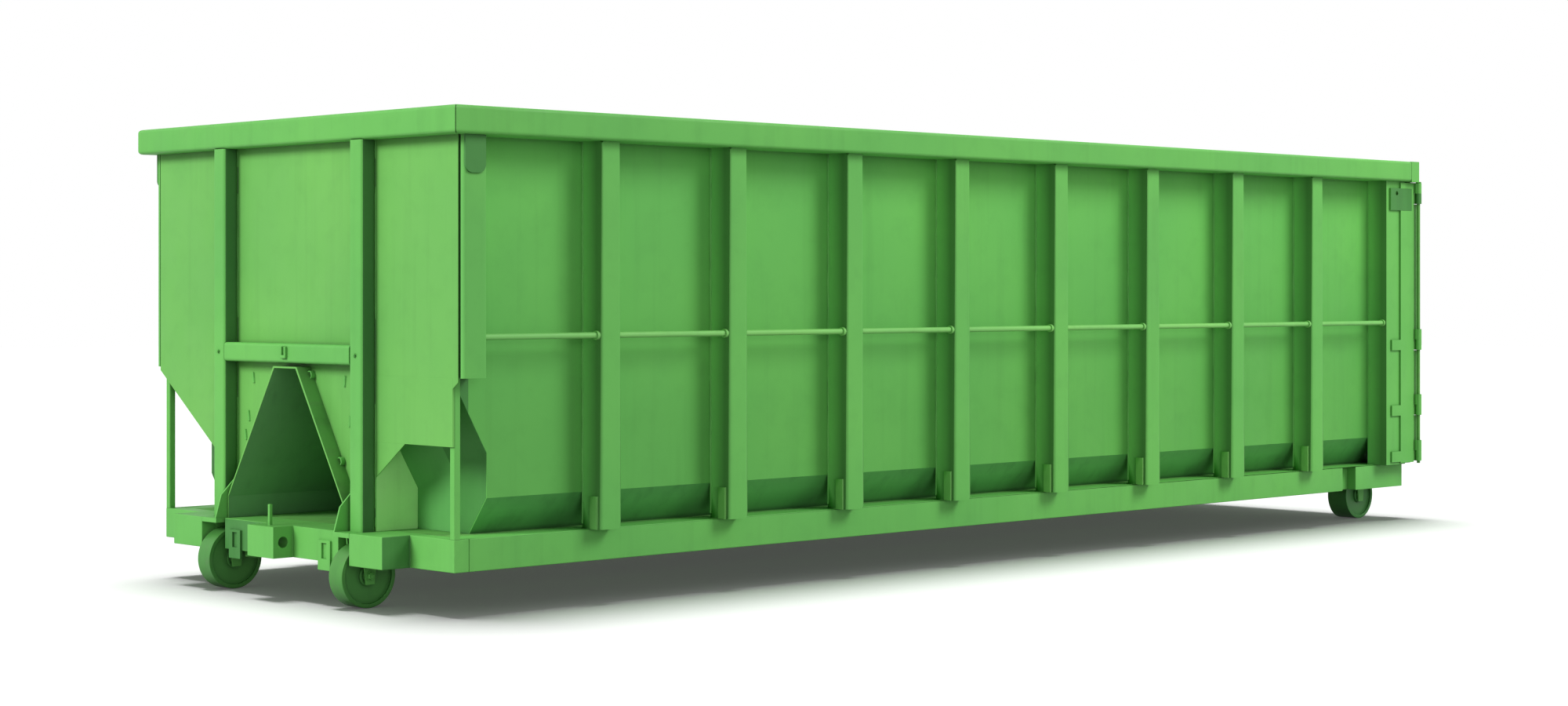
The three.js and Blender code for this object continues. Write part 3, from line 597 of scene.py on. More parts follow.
@dataclass
class Bench:
    """The workbench that adds, shapes, smooths and hands over the pieces."""

    materials: dict[Look, bpy.types.Material]

    def alone(self, piece: bpy.types.Object) -> None:
        """Selects one piece and nothing else.

        Args:
            piece: The piece.
        """
        bpy.ops.object.select_all(action="DESELECT")
        piece.select_set(True)
        bpy.context.view_layer.objects.active = piece

    def _set_down(self) -> bpy.types.Object:
        """Puts the new piece's place into its mesh.

        Returns:
            The piece.
        """
        bpy.ops.object.transform_apply(location=True, rotation=True, scale=True)
        return bpy.context.object

    def block(self, first: Vector | tuple, second: Vector | tuple) -> bpy.types.Object:
        """Adds a block between two opposite corners.

        Args:
            first: One corner.
            second: The other corner.

        Returns:
            The block.
        """
        a, b = Vector(first), Vector(second)
        size = [abs(v) for v in b - a]
        bpy.ops.mesh.primitive_cube_add(size=1, location=(a + b) / 2, scale=size)
        return self._set_down()

    def rod(
        self, start: Vector | tuple, end: Vector | tuple, radius: float, sides: int = 32
    ) -> bpy.types.Object:
        """Adds a round bar between two points.

        Args:
            start: Middle of its first end.
            end: Middle of its other end.
            radius: Its radius.
            sides: How many sides it has.

        Returns:
            The bar.
        """
        a, b = Vector(start), Vector(end)
        turn = (b - a).to_track_quat("Z", "Y").to_euler()
        bpy.ops.mesh.primitive_cylinder_add(
            vertices=sides, radius=radius, depth=(b - a).length, location=(a + b) / 2, rotation=turn
        )
        return self._set_down()

    def copy_node(self, node: str) -> bpy.types.Object:
        """Copies a CAD node's mesh, merged and with its flat faces whole.

        Args:
            node: The node's name.

        Returns:
            The copy.
        """
        piece = bpy.data.objects.new(node + "_copy", frame["nodes"][node].data.copy())
        bpy.context.scene.collection.objects.link(piece)
        self.alone(piece)
        bpy.ops.object.mode_set(mode="EDIT")
        bpy.ops.mesh.select_all(action="SELECT")
        bpy.ops.mesh.remove_doubles(threshold=0.00002)
        bpy.ops.mesh.dissolve_limited(angle_limit=math.radians(1))
        bpy.ops.object.mode_set(mode="OBJECT")
        return piece

    def pick_edges(
        self, piece: bpy.types.Object, wanted: Callable[[Vector, Vector], bool]
    ) -> None:
        """Goes into edit mode with some edges selected.

        Args:
            piece: The piece.
            wanted: Says of an edge's two ends whether it is wanted.
        """
        self.alone(piece)
        bpy.ops.object.mode_set(mode="EDIT")
        bpy.ops.mesh.select_mode(type="EDGE")
        bpy.ops.mesh.select_all(action="DESELECT")
        bpy.ops.object.mode_set(mode="OBJECT")
        mesh = piece.data
        for edge in mesh.edges:
            edge.select = wanted(*(mesh.vertices[i].co for i in edge.vertices))
        bpy.ops.object.mode_set(mode="EDIT")

    def pick_faces(
        self, piece: bpy.types.Object, wanted: Callable[[Vector, Vector], bool]
    ) -> None:
        """Goes into edit mode with some faces selected.

        Args:
            piece: The piece.
            wanted: Says of a face's middle and normal whether it is wanted.
        """
        self.alone(piece)
        bpy.ops.object.mode_set(mode="EDIT")
        bpy.ops.mesh.select_mode(type="FACE")
        bpy.ops.mesh.select_all(action="DESELECT")
        bpy.ops.object.mode_set(mode="OBJECT")
        for face in piece.data.polygons:
            face.select = wanted(face.center, face.normal)
        bpy.ops.object.mode_set(mode="EDIT")

    def round_long_edges(
        self,
        piece: bpy.types.Object,
        axis: Axis,
        radius: float,
        least: float = 0.3,
        bare: Callable[[Vector], bool] = lambda middle: True,
    ) -> None:
        """Rounds the long edges of a rolled tube.

        Args:
            piece: The tube.
            axis: The way the tube runs.
            radius: Radius of its corners.
            least: Shortest edge that is rounded.
            bare: Says of an edge's middle whether it stands free and is rounded.
        """

        def runs_along(a: Vector, b: Vector) -> bool:
            """Says whether an edge runs along the tube and stands free.

            Args:
                a: One end of the edge.
                b: Its other end.

            Returns:
                True for such an edge.
            """
            edge = b - a
            straight = abs(edge[axis.value]) > max(least, 0.999 * edge.length)
            return straight and bare((a + b) / 2)

        self.pick_edges(piece, runs_along)
        bpy.ops.mesh.bevel(offset=radius, segments=4, profile=0.5, affect="EDGES")
        bpy.ops.object.mode_set(mode="OBJECT")

    def saw(self, piece: bpy.types.Object, place: Vector, keep: Vector) -> None:
        """Saws a piece through and closes the cut.

        Args:
            piece: The piece.
            place: A point on the cut.
            keep: The direction, square to the cut, of the side that is kept.
        """
        self.pick_faces(piece, lambda middle, normal: True)
        bpy.ops.mesh.bisect(plane_co=place, plane_no=keep, use_fill=True, clear_inner=True)
        bpy.ops.object.mode_set(mode="OBJECT")

    def score(self, piece: bpy.types.Object, place: Vector, across: Vector) -> None:
        """Divides a piece's faces along a plane and keeps all of them.

        Args:
            piece: The piece.
            place: A point on the line.
            across: The direction square to the line.
        """
        self.pick_faces(piece, lambda middle, normal: True)
        bpy.ops.mesh.bisect(plane_co=place, plane_no=across, use_fill=False)
        bpy.ops.object.mode_set(mode="OBJECT")

    def cut(self, piece: bpy.types.Object, cutter: bpy.types.Object) -> None:
        """Takes a cutter's shape out of a piece.

        Args:
            piece: The piece.
            cutter: The cutter, which is used up.
        """
        self.alone(piece)
        modifier = piece.modifiers.new("cut", "BOOLEAN")
        modifier.operation = "DIFFERENCE"
        modifier.object = cutter
        bpy.ops.object.modifier_apply(modifier="cut")
        bpy.data.objects.remove(cutter, do_unlink=True)

    def split_faces(self, piece: bpy.types.Object) -> None:
        """Splits a piece's many-cornered faces, so that none folds when edges are broken.

        Args:
            piece: The piece.
        """
        self.pick_faces(piece, lambda middle, normal: True)
        bpy.ops.mesh.quads_convert_to_tris(quad_method="BEAUTY", ngon_method="BEAUTY")
        bpy.ops.object.mode_set(mode="OBJECT")

    def soften(self, piece: bpy.types.Object, width: float, segments: int = 2) -> None:
        """Breaks a piece's sharp edges.

        Args:
            piece: The piece.
            width: Width of the broken edge.
            segments: How many faces it has.
        """
        self.alone(piece)
        modifier = piece.modifiers.new("soften", "BEVEL")
        modifier.width = width
        modifier.segments = segments
        modifier.limit_method = "ANGLE"
        modifier.angle_limit = math.radians(32)
        bpy.ops.object.modifier_apply(modifier="soften")

    def smooth(self, piece: bpy.types.Object) -> None:
        """Smooths the shading of the rounded faces and keeps the flats flat.

        Args:
            piece: The piece.
        """
        self.alone(piece)
        bpy.ops.object.shade_smooth_by_angle(angle=0.7)
        modifier = piece.modifiers.new("normals", "WEIGHTED_NORMAL")
        modifier.keep_sharp = True
        bpy.ops.object.modifier_apply(modifier="normals")

    def join(self, pieces: list[bpy.types.Object]) -> bpy.types.Object:
        """Joins pieces into the first of them.

        Args:
            pieces: The pieces.

        Returns:
            The joined piece.
        """
        self.alone(pieces[0])
        for piece in pieces[1:]:
            piece.select_set(True)
        bpy.ops.object.join()
        return bpy.context.object

    def bead(self, start: Vector | tuple, end: Vector | tuple, radius: float) -> bpy.types.Object:
        """Lays a lumpy weld bead between two points.

        Args:
            start: Where the bead starts.
            end: Where it ends.
            radius: Its radius.

        Returns:
            The bead.
        """
        bead = self.rod(start, end, radius, 6)
        way = (Vector(end) - Vector(start)).normalized()
        cuts = min(40, max(2, int((Vector(end) - Vector(start)).length / (radius * 2.5))))
        self.pick_edges(bead, lambda a, b: abs((b - a).dot(way)) > radius)
        bpy.ops.mesh.subdivide(number_cuts=cuts)
        bpy.ops.mesh.select_all(action="SELECT")
        bpy.ops.transform.vertex_random(offset=radius * 0.35, seed=7)
        bpy.ops.object.mode_set(mode="OBJECT")
        self.alone(bead)
        bpy.ops.object.shade_smooth()
        return bead

    def nut(self, place: Vector | tuple, axis: Axis, side: float, size: float) -> bpy.types.Object:
        """Makes a hexagon nut on a washer, with the end of its bolt.

        Args:
            place: Middle of the face it sits on.
            axis: The way the bolt runs.
            side: Plus or minus one, the way the nut faces.
            size: Radius over the nut's corners.

        Returns:
            The nut.
        """
        out = Vector([side if way is axis else 0.0 for way in Axis])
        spot = Vector(place)
        washer = self.rod(spot - out * size * 0.2, spot + out * size * 0.16, size * 1.3, 28)
        head = self.rod(spot, spot + out * size * 0.9, size, 6)
        self.soften(head, size * 0.1)
        bolt = self.rod(spot, spot + out * size * 1.2, size * 0.5, 20)
        self.soften(bolt, size * 0.08)
        return self.join([head, washer, bolt])

    def repaint(
        self, piece: bpy.types.Object, look: Look, wanted: Callable[[Vector, Vector], bool]
    ) -> None:
        """Gives some faces of a painted piece another finish.

        Args:
            piece: The piece.
            look: The other finish.
            wanted: Says of a face's middle and normal whether it is wanted.
        """
        piece.data.materials.append(self.materials[look])
        last = len(piece.data.materials) - 1
        for face in piece.data.polygons:
            if wanted(face.center, face.normal):
                face.material_index = last

    def hand_over(
        self,
        piece: bpy.types.Object,
        name: str,
        look: Look,
        body: str = "frame",
        stands_for: str = "",
    ) -> bpy.types.Object:
        """Paints a finished piece and puts it on its body.

        Args:
            piece: The piece.
            name: Its name.
            look: Its finish.
            body: The body it rides on.
            stands_for: The CAD node it replaces, if any.

        Returns:
            The piece.
        """
        self.smooth(piece)
        piece.name = name
        piece.data.name = name
        piece.data.materials.clear()
        piece.data.materials.append(self.materials[look])
        for face in piece.data.polygons:
            face.material_index = 0
        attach(piece, body)
        if stands_for:
            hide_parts(stands_for)
        log.info("built %s, %d faces", name, len(piece.data.polygons))
        return piece

    def repeat(
        self, piece: bpy.types.Object, name: str, step: Vector, stands_for: str
    ) -> bpy.types.Object:
        """Copies a finished piece, with a mesh of its own.

        Args:
            piece: The finished piece.
            name: The copy's name.
            step: How far the copy is from it.
            stands_for: The CAD node the copy replaces.

        Returns:
            The copy.
        """
        twin = bpy.data.objects.new(name, piece.data.copy())
        bpy.context.scene.collection.objects.link(twin)
        twin.location = step
        self.alone(twin)
        bpy.ops.object.transform_apply(location=True, rotation=True, scale=True)
        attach(twin, "frame")
        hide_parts(stands_for)
        log.info("copied %s", name)
        return twin


def side_of(name: str) -> float:
    """Gives the sign of Y on a side of the container.

    Args:
        name: Near or far.

    Returns:
        Minus one on the near side, plus one on the far side.
    """
    return -1.0 if name == NEAR else 1.0


@dataclass
class TopRim:
    """The three tubes round the top, mitred at the front corners."""

    corner_radius: float = 0.016
    mitre_gap: float = 0.0035
    inner_strip: float = 0.01
    lower_strip: float = 0.05

    def build(self, bench: Bench) -> None:
        """Builds the tubes.

        Args:
            bench: The workbench.
        """
        low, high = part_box("top_rail_front")
        front = bench.block(low, high)
        bench.round_long_edges(front, Axis.Y, self.corner_radius)
        for name in (NEAR, FAR):
            side = side_of(name)
            corner = Vector((low.x, side * high.y, low.z))
            across = Vector((1.0, side, 0.0)).normalized()
            bench.saw(front, corner - across * self.mitre_gap / 2, -across)
            first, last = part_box("top_rail_" + name)
            first.x = low.x
            tube = bench.block(first, last)
            inner = min(abs(first.y), abs(last.y)) + self.inner_strip
            bench.round_long_edges(
                tube,
                Axis.X,
                self.corner_radius,
                bare=lambda middle: abs(middle.y) > inner or middle.z > low.z + self.lower_strip,
            )
            bench.saw(tube, corner + across * self.mitre_gap / 2, across)
            bench.hand_over(tube, f"rim_tube_{name}", Look.FRAME, stands_for="top_rail_" + name)
        bench.hand_over(front, "rim_tube_front", Look.FRAME, stands_for="top_rail_front")


@dataclass
class FrontFrame:
    """Posts, cross tube, corner posts, stanchions and base bars of the front."""

    tube_radius: float = 0.014
    edge_break: float = 0.002
    bar_edge: float = 0.0035
    seam_width: float = 0.012
    seam_depth: float = 0.013
    overrun: float = 0.01
    bolt_height: float = 1.057
    bolt_size: float = 0.008
    bead_radius: float = 0.003
    bead_start: float = 0.02
    bracket_height: float = 0.155
    bracket_radius: float = 0.035
    bracket_proud: float = 0.008
    bracket_root: float = 0.004
    bracket_edge: float = 0.0015
    stanchion_radius: float = 0.006
    guide_half: float = 0.02
    guide_proud: float = 0.012
    guide_root: float = 0.004
    guide_low: float = 0.02
    guide_high: float = 0.072
    guide_edge: float = 0.003
    slot_half: float = 0.009
    slot_low: float = 0.034
    slot_floor: float = 0.001

    def build(self, bench: Bench) -> None:
        """Builds the front frame.

        Args:
            bench: The workbench.
        """
        for name in (NEAR, FAR):
            self._post(bench, name)
            self._corner(bench, name)
            self._foot(bench, name)
        low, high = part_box("front_cross_tube")
        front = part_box("front_post_near")[0].x
        cross = bench.block((front, low.y, low.z), high)
        bench.round_long_edges(cross, Axis.Y, self.tube_radius, 0.6)
        bench.soften(cross, self.edge_break)
        eye = self._guide(bench, Vector((front, 0.0, low.z)))
        cross = bench.join([cross, eye])
        bench.hand_over(cross, "cross_tube", Look.FRAME, stands_for="front_cross_tube")

    def _guide(self, bench: Bench, foot: Vector) -> bpy.types.Object:
        """Makes the small U-shaped cable guide on the cross tube.

        Args:
            bench: The workbench.
            foot: Middle of the tube's lower front edge.

        Returns:
            The guide.
        """
        plate = bench.block(
            foot + Vector((-self.guide_proud, -self.guide_half, self.guide_low)),
            foot + Vector((self.guide_root, self.guide_half, self.guide_high)),
        )
        slot = bench.block(
            foot + Vector((-0.03, -self.slot_half, self.slot_low)),
            foot + Vector((-self.slot_floor, self.slot_half, 0.09)),
        )
        bench.cut(plate, slot)
        bench.soften(plate, self.guide_edge, 3)
        return plate

    def _post(self, bench: Bench, name: str) -> None:
        """Builds a front post with its small bolt.

        Args:
            bench: The workbench.
            name: Near or far.
        """
        node = "front_post_" + name
        low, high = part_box(node)
        post = bench.copy_node(node)
        bench.round_long_edges(post, Axis.Z, self.tube_radius)
        bench.soften(post, self.edge_break)
        middle = (low.y + high.y) / 2
        parts = [post, bench.nut((low.x, middle, self.bolt_height), Axis.X, -1.0, self.bolt_size)]
        root = high.x - 0.001
        for y in (low.y, high.y):
            start = (root, y, low.z + self.bead_start)
            parts.append(bench.bead(start, (root, y, high.z), self.bead_radius))
        post = bench.join(parts)
        post = bench.hand_over(post, f"front_post_tube_{name}", Look.FRAME, stands_for=node)
        # The post's sides take painted shade.
        bench.repaint(post, Look.FLANK_SHADE, lambda middle, normal: abs(normal.y) > 0.9)

    def _corner(self, bench: Bench, name: str) -> None:
        """Builds a corner post with its bracket plate, and its stanchion.

        Args:
            bench: The workbench.
            name: Near or far.
        """
        side = side_of(name)
        node = "corner_post_" + name
        low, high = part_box(node)
        outer = low.y if name == NEAR else high.y
        post = bench.copy_node(node)
        bench.round_long_edges(
            post, Axis.Z, self.tube_radius, 0.3, lambda middle: abs(middle.y) > abs(outer) - 0.02
        )
        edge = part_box("front_sheet")[1].y
        groove = bench.block(
            (low.x - self.overrun, side * edge, low.z - self.overrun),
            (low.x + self.seam_depth, side * (edge + self.seam_width), high.z + self.overrun),
        )
        bench.cut(post, groove)
        top = high.z
        bracket = bench.block(
            (low.x + 0.002, outer - side * self.bracket_root, top - self.bracket_height),
            (high.x - 0.012, outer + side * self.bracket_proud, top),
        )
        bench.pick_edges(
            bracket, lambda a, b: abs(a.y - b.y) > 0.01 and max(a.z, b.z) < top - 0.1
        )
        bpy.ops.mesh.bevel(offset=self.bracket_radius, segments=6, profile=0.5, affect="EDGES")
        bpy.ops.object.mode_set(mode="OBJECT")
        bench.soften(bracket, self.bracket_edge)
        post = bench.join([post, bracket])
        post = bench.hand_over(post, f"corner_tube_{name}", Look.FRAME, stands_for=node)
        # Faces proud of the post's outer side take painted shade.
        bench.repaint(post, Look.RECESS_SHADE, lambda middle, normal: abs(middle.y) > abs(outer) + 0.001)
        # The post's front strip and its groove take painted shade.
        bench.repaint(
            post,
            Look.FLANK_SHADE,
            lambda middle, normal: abs(normal.x) > 0.9
            and low.x + 0.01 < middle.x < low.x + 0.016
            or abs(middle.y) < edge + 0.001 and middle.x < low.x + 0.014,
        )
        node = "corner_stanchion_" + name
        stanchion = bench.copy_node(node)
        bench.round_long_edges(stanchion, Axis.Z, self.stanchion_radius)
        bench.hand_over(stanchion, f"stanchion_bar_{name}", Look.FRAME, stands_for=node)

    def _foot(self, bench: Bench, name: str) -> None:
        """Builds a base bar with its bumper.

        Args:
            bench: The workbench.
            name: Near or far.
        """
        node = "base_front_" + name
        side = side_of(name)
        foot = bench.copy_node(node)
        bench.soften(foot, self.bar_edge, 3)
        foot = bench.hand_over(foot, f"base_bar_{name}", Look.FRAME, stands_for=node)
        # The bumper's outward side takes painted shade.
        bench.repaint(
            foot,
            Look.RECESS_SHADE,
            lambda middle, normal: normal.y * side > 0.5 and abs(middle.y) < 1.0,
        )


@dataclass
class Tunnel:
    """The doghouse with painted shade inside, its bosses and its weld beads."""

    boss_radius: float = 0.019
    boss_reach: float = 0.022
    boss_rim: float = 0.006
    boss_well: float = 0.008
    boss_edge: float = 0.0015
    boss_places: tuple[tuple[float, float], ...] = ((-0.112, 0.965), (-0.336, 0.603))
    mark_places: tuple[tuple[float, float], ...] = (
        (0.348, 0.92),
        (0.385, 0.75),
        (0.41, 0.665),
        (0.45, 0.53),
    )
    mark_lean: float = 0.006
    mark_length: float = 0.045
    mark_radius: float = 0.007
    shell_edge: float = 0.0012
    middle_height: float = 0.55
    end_strip: float = 0.02

    def build(self, bench: Bench) -> None:
        """Builds the tunnel.

        Args:
            bench: The workbench.
        """
        shell = bench.copy_node("doghouse_shell")
        low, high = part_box("doghouse_shell")
        bench.soften(shell, self.shell_edge)
        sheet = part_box("front_sheet")[0].x
        bits = []
        for y, z in self.boss_places:
            start = (sheet - self.boss_reach, y, z)
            boss = bench.rod(start, (sheet + 0.001, y, z), self.boss_radius)
            bench.pick_faces(boss, lambda middle, normal: normal.x < -0.9)
            bpy.ops.mesh.inset(thickness=self.boss_rim)
            bpy.ops.mesh.extrude_region_move(
                TRANSFORM_OT_translate={"value": (self.boss_well, 0, 0)}
            )
            bpy.ops.object.mode_set(mode="OBJECT")
            bench.soften(boss, self.boss_edge)
            bits.append(boss)
        for side in (-1.0, 1.0):
            for y, z in self.mark_places:
                spot = Vector((sheet, side * y, z))
                top = spot + Vector((0, side * self.mark_lean, self.mark_length))
                bits.append(bench.bead(spot, top, self.mark_radius))
        plates = bench.join(bits)
        bench.hand_over(plates, "tunnel_bosses", Look.FRAME)
        shell = bench.hand_over(shell, "tunnel_shell", Look.INSIDE, stands_for="doghouse_shell")

        def looks_in(middle: Vector, normal: Vector) -> bool:
            """Says whether a face is seen from inside the tunnel."""
            inward = -middle.y * normal.y - (middle.z - self.middle_height) * normal.z
            return inward > 0 or (normal.x < -0.5 and middle.x > high.x - self.end_strip)

        # Faces seen from inside the tunnel take painted shade.
        bench.repaint(shell, Look.TUNNEL_SHADE, looks_in)
        bench.repaint(shell, Look.FRONT, lambda middle, normal: middle.x < low.x + self.end_strip)


@dataclass
class CutCorner:
    """The cut lower corners of the front, closed by a cover plate on the near side, with painted light and
    shade on the plates behind them.
    """

    # Where the painted shade on the corner plates begins.
    recess_shade_from: float = 0.82
    # Where the painted sunlit patch on the corner plates ends.
    lit_patch_to: float = 0.63
    cover_proud: float = 0.0045
    cover_seat: float = 0.0005
    cover_edge: float = 0.0008
    plate_edge: float = 0.0012

    def build(self, bench: Bench) -> None:
        """Builds the near cover and the plates behind both corners.

        Args:
            bench: The workbench.
        """
        low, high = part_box("corner_cover_near")
        cover = bench.block(
            (low.x - self.cover_proud, low.y, low.z),
            (high.x + self.cover_seat, high.y, high.z),
        )
        bench.soften(cover, self.cover_edge)
        bench.hand_over(cover, "corner_cover_plate", Look.FRONT, stands_for="corner_cover_near")
        for name in (NEAR, FAR):
            node = "corner_plate_" + name
            plate = bench.copy_node(node)
            # The plate is scored where its painted shade begins.
            line = Vector((0.0, side_of(name) * self.recess_shade_from, 0.0))
            bench.score(plate, line, Vector((0.0, 1.0, 0.0)))
            bench.soften(plate, self.plate_edge)
            # The corner plate takes painted shade.
            plate = bench.hand_over(plate, f"cut_corner_plate_{name}", Look.BULKHEAD_SHADE, stands_for=node)
            # The plate's inner part takes a painted sunlit patch.
            bench.repaint(plate, Look.LIT_PATCH, lambda middle, normal: abs(middle.y) < self.lit_patch_to)
            # Painted shade on the plate's outer part.
            bench.repaint(plate, Look.RECESS_SHADE, lambda middle, normal: abs(middle.y) > self.recess_shade_from)
            bench.repaint(plate, Look.INSIDE, lambda middle, normal: normal.x > 0.5)


@dataclass
class SideWall:
    """A side sheet with its skirt, eight ribs, tie bar and base rail."""

    name: str
    rib_radius: float = 0.012
    pitch: float = 0.737375
    bead_radius: float = 0.0035
    root_strip: float = 0.06
    trim_width: float = 0.0099
    trim_height: float = 0.2
    overrun: float = 0.01
    foot_bead: tuple[float, float] = (0.03, 0.115)
    bar_edge: float = 0.0015
    rail_edge: float = 0.0035

    def build(self, bench: Bench) -> None:
        """Builds the side.

        Args:
            bench: The workbench.
        """
        self._sheet(bench)
        self._ribs(bench)
        self._tie_bar(bench)
        self._base_rail(bench)

    def _sheet(self, bench: Bench) -> None:
        """Builds the sheet, painted outside and worn inside, with painted shade on its skirt and in front
        of the corner post.

        Args:
            bench: The workbench.
        """
        node = "side_sheet_" + self.name
        side = side_of(self.name)
        sheet = bench.copy_node(node)
        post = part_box("corner_post_" + self.name)[1]
        # Scored at the corner post, where the painted shade in front of it ends.
        bench.score(sheet, Vector((post.x, 0.0, 0.0)), Vector((1.0, 0.0, 0.0)))
        sheet = bench.hand_over(sheet, f"side_plate_{self.name}", Look.WALL, stands_for=node)
        bench.repaint(sheet, Look.INSIDE, lambda middle, normal: normal.y * side < -0.1)
        # The skirt takes painted shade.
        bench.repaint(
            sheet, Look.SKIRT_SHADE, lambda middle, normal: normal.y * side > 0.1 and abs(normal.z) > 0.05
        )
        # Painted shade on the sheet in front of the corner post.
        bench.repaint(
            sheet,
            Look.RECESS_SHADE,
            lambda middle, normal: normal.y * side > 0.9 and middle.x < post.x,
        )

    def _ribs(self, bench: Bench) -> None:
        """Builds the first rib and copies it along the side.

        Args:
            bench: The workbench.
        """
        node = f"side_rib_{self.name}_1"
        side = side_of(self.name)
        low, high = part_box(node)
        root = high.y if self.name == NEAR else low.y
        tube = bench.copy_node(node)
        bench.round_long_edges(
            tube, Axis.Z, self.rib_radius, 1.0, lambda middle: abs(middle.y) > abs(root) + self.root_strip
        )
        trim = bench.block(
            (low.x - self.overrun, root - side * self.overrun, low.z + 0.001),
            (low.x + self.trim_width, root + side * self.root_strip, low.z + self.trim_height),
        )
        bench.cut(tube, trim)
        seat = root + side * 0.002
        beads = [
            bench.bead((x, seat, low.z + 0.02), (x, seat, high.z), self.bead_radius)
            for x in (low.x + 0.0095, high.x + 0.0005)
        ]
        ends = [Vector((low.x + 0.012, root + side * y, low.z + 0.002)) for y in self.foot_bead]
        beads.append(bench.bead(*ends, self.bead_radius))
        rib = bench.join([tube, *beads])
        rib = bench.hand_over(rib, f"rib_{self.name}_1", Look.FRAME, stands_for=node)
        # The rib's sides take painted light and shade.
        bench.repaint(
            rib,
            Look.RIB_SIDE_SHADE,
            lambda middle, normal: abs(normal.x) > 0.9 and middle.x > low.x + 0.005,
        )
        # The rib's foot plate takes painted light.
        bench.repaint(rib, Look.PAINTED_LIGHT, lambda middle, normal: middle.x < low.x + 0.0055)
        for number in range(2, RIB_COUNT + 1):
            step = Vector((self.pitch * (number - 1), 0.0, 0.0))
            twin = f"rib_{self.name}_{number}"
            bench.repeat(rib, twin, step, f"side_rib_{self.name}_{number}")

    def _tie_bar(self, bench: Bench) -> None:
        """Builds the round tie bar with its collars, in a lighter copy of the paint: painted light.

        Args:
            bench: The workbench.
        """
        node = "tie_bar_" + self.name
        bar = bench.copy_node(node)
        bench.soften(bar, self.bar_edge)
        # The tie bar takes painted light.
        bench.hand_over(bar, f"tie_rod_{self.name}", Look.PAINTED_LIGHT, stands_for=node)

    def _base_rail(self, bench: Bench) -> None:
        """Builds the base rail with its rolled edges.

        Args:
            bench: The workbench.
        """
        node = "base_rail_" + self.name
        rail = bench.copy_node(node)
        bench.split_faces(rail)
        bench.soften(rail, self.rail_edge, 3)
        bench.hand_over(rail, f"base_tube_{self.name}", Look.FRAME, stands_for=node)


@dataclass
class Roller:
    """A steel roller with a worn tread, dished discs and a stepped hub."""

    name: str
    rim_width: float = 0.018
    dish: float = 0.014
    hub_radius: float = 0.044
    hub_ring: float = 0.012
    hub_share: float = 0.9
    well_share: float = 0.4
    edge: float = 0.0035
    tread_depth: float = 0.012

    def build(self, bench: Bench) -> None:
        """Turns the roller from a round bar.

        Args:
            bench: The workbench.
        """
        node = "roller_" + self.name
        low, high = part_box(node)
        centre = (low + high) / 2
        radius = (high.z - low.z) / 2
        start, end = Vector(centre), Vector(centre)
        start.y, end.y = low.y, high.y
        wheel = bench.rod(start, end, radius, 72)
        for side in (-1.0, 1.0):
            bench.pick_faces(wheel, lambda middle, normal, side=side: normal.y * side > 0.9)
            bpy.ops.mesh.inset(thickness=self.rim_width)
            bpy.ops.mesh.extrude_region_move(
                TRANSFORM_OT_translate={"value": (0, -side * self.dish, 0)}
            )
            bpy.ops.mesh.inset(thickness=radius - self.rim_width - self.hub_radius)
            bpy.ops.mesh.extrude_region_move(
                TRANSFORM_OT_translate={"value": (0, side * self.dish * self.hub_share, 0)}
            )
            bpy.ops.mesh.inset(thickness=self.hub_ring)
            bpy.ops.mesh.extrude_region_move(
                TRANSFORM_OT_translate={"value": (0, -side * self.dish * self.well_share, 0)}
            )
            bpy.ops.object.mode_set(mode="OBJECT")
        bench.soften(wheel, self.edge, 3)
        body = f"roller_{self.name}_body"
        wheel = bench.hand_over(wheel, f"wheel_{self.name}", Look.ROLLER, body, node)

        def on_tread(middle: Vector, normal: Vector) -> bool:
            """Says whether a face is on the tread or the rim."""
            away = math.hypot(middle.x - centre.x, middle.z - centre.z)
            return away > radius - self.tread_depth

        bench.repaint(wheel, Look.TREAD, on_tread)


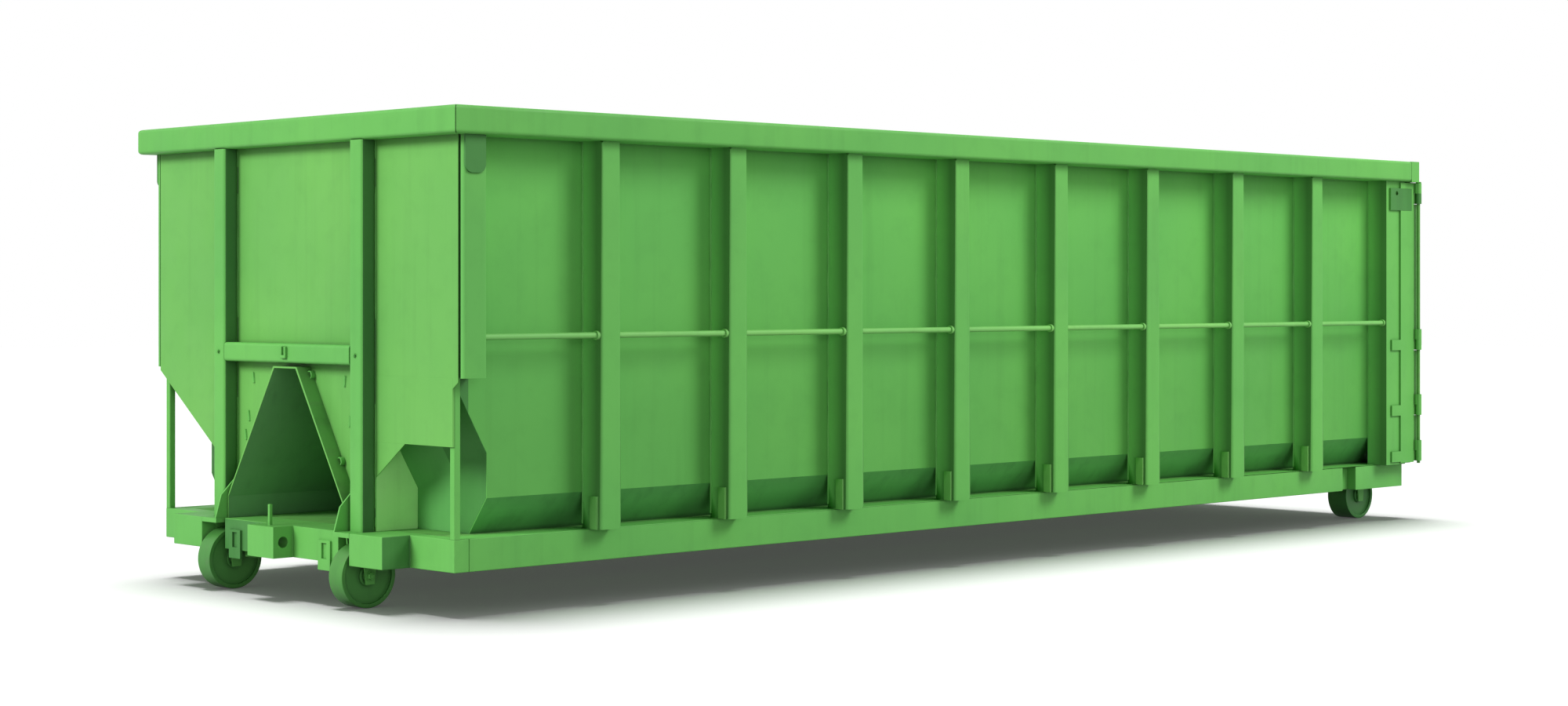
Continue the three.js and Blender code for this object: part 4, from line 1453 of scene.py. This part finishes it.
@dataclass
class PlainDress:
    """Heavy pieces whose CAD shape is kept and whose edges are broken."""

    edges: dict[str, float]
    hinge_room: float = 0.062
    axle_height: float = 0.136
    drill: float = 0.013
    drill_place: tuple[float, float] = (3.345, 1.888)
    plate_low: tuple[float, float, float] = (3.282, -1.1866, 1.79)
    plate_high: tuple[float, float, float] = (3.5, -1.175, 1.918)
    plate_edge: float = 0.0008
    nut_size: float = 0.017
    hinge_heights: tuple[float, ...] = (0.335, 0.602, 0.981, 1.831)
    stile_edge: float = 0.0015

    def build(self, bench: Bench) -> None:
        """Dresses each piece.

        Args:
            bench: The workbench.
        """
        groups = frame["record"]["behaviour"]["bodies"]
        bodies = {node: body for body, nodes in groups.items() for node in nodes}
        for node, width in self.edges.items():
            piece = bench.copy_node(node)
            if "roller_mount" in node:
                bench.split_faces(piece)
            bench.soften(piece, width)
            if node == "rear_door":
                piece = bench.join([piece, self._stile(bench)])
            if "roller_mount" in node:
                piece = bench.join([piece, self._axle_nut(bench, node)])
            if node == "rear_post_near":
                piece = self._drilled_plate(bench, piece)
            pin = node in ("hinge_rod", "door_bolt")
            look = Look.PIN if pin else Look.FRAME
            piece = bench.hand_over(piece, "dressed_" + node, look, bodies[node], node)
            # The drilled plate takes the darker copy of the paint used for painted shade.
            if node == "rear_post_near":
                bench.repaint(piece, Look.RECESS_SHADE, self._on_drilled_plate)
            # The rear post's front flank takes painted light and shade like a rib side.
            if node.startswith("rear_post"):
                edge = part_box(node)[0].x + 0.004
                bench.repaint(piece, Look.RIB_SIDE_SHADE, lambda middle, normal: middle.x < edge)
            # Painted shade on the nose's far end plate beside the roller.
            if node == "nose_beam":
                bench.repaint(piece, Look.RECESS_SHADE, self._on_far_end_plate)

    def _drilled_plate(self, bench: Bench, post: bpy.types.Object) -> bpy.types.Object:
        """Adds the drilled plate at the top of the near rear post.

        Args:
            bench: The workbench.
            post: The post.

        Returns:
            The post with its plate.
        """
        plate = bench.block(self.plate_low, self.plate_high)
        x, z = self.drill_place
        for piece in (post, plate):
            bench.cut(piece, bench.rod((x, -1.2, z), (x, -1.172, z), self.drill))
        bench.soften(plate, self.plate_edge)
        return bench.join([post, plate])

    def _on_drilled_plate(self, middle: Vector, normal: Vector) -> bool:
        """Says whether a face is on the drilled plate of the near rear post."""
        return middle.y < -1.1855 and 1.78 < middle.z < 1.93

    def _axle_nut(self, bench: Bench, node: str) -> bpy.types.Object:
        """Makes the nut on the end of a roller's axle.

        Args:
            bench: The workbench.
            node: The roller mount's name.

        Returns:
            The nut.
        """
        end, _, _, name = node.split("_")
        low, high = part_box(f"roller_{end}_{name}")
        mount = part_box(node)
        side = side_of(name)
        outward = side if node.startswith("front") else -side
        face = mount[1].y if outward > 0 else mount[0].y
        spot = ((low.x + high.x) / 2, face, self.axle_height)
        return bench.nut(spot, Axis.Y, outward, self.nut_size)

    def _on_far_end_plate(self, middle: Vector, normal: Vector) -> bool:
        """Says whether a face is on the nose's far end plate, beside the roller."""
        return middle.y > 0.29 and middle.x < -3.45

    def _stile(self, bench: Bench) -> bpy.types.Object:
        """Makes the door's stile behind the hinge rod, open where the hinges are.

        Args:
            bench: The workbench.

        Returns:
            The stile.
        """
        low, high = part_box("rear_door")
        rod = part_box("hinge_rod")[1]
        starts = [low.z + 0.01, *(height + self.hinge_room for height in self.hinge_heights)]
        ends = [*(height - 0.002 for height in self.hinge_heights), high.z - 0.12]
        strips = []
        for start, end in zip(starts, ends):
            if end - start > 0.03:
                first = (low.x + 0.004, rod.y + 0.004, start)
                strips.append(bench.block(first, (rod.x + 0.001, rod.y + 0.01, end)))
                bench.soften(strips[-1], self.stile_edge)
        return bench.join(strips)


def main() -> None:
    """Builds the container sub-assembly by sub-assembly, then the studio."""
    logging.basicConfig(level=logging.INFO)
    bpy.ops.object.select_all(action="DESELECT")
    bpy.context.scene.view_settings.view_transform = "Standard"
    bench = Bench({look: finish.build() for look, finish in FINISHES.items()})
    TopRim().build(bench)
    FrontFrame().build(bench)
    Tunnel().build(bench)
    CutCorner().build(bench)
    for name in (NEAR, FAR):
        SideWall(name).build(bench)
        for end in ("front", "rear"):
            Roller(f"{end}_{name}").build(bench)
    PlainDress(
        {
            "nose_beam": 0.003,
            "front_roller_mount_near": 0.0025,
            "front_roller_mount_far": 0.0025,
            "rear_roller_mount_near": 0.0025,
            "rear_roller_mount_far": 0.0025,
            "rear_post_near": 0.002,
            "rear_post_far": 0.002,
            "rear_door": 0.003,
            "door_bolt": 0.0015,
            "bolt_keeper": 0.0015,
            "hinge_rod": 0.0015,
            "underframe": 0.0015,
        }
    ).build(bench)
    kept = {"front_sheet": Look.FRONT, "floor_plate": Look.INSIDE}
    for name, look in kept.items():
        node = frame["nodes"][name]
        node.data.materials.clear()
        node.data.materials.append(bench.materials[look])
        log.info("painted %s", name)
    Studio().build()


if __name__ == "__main__":
    main()
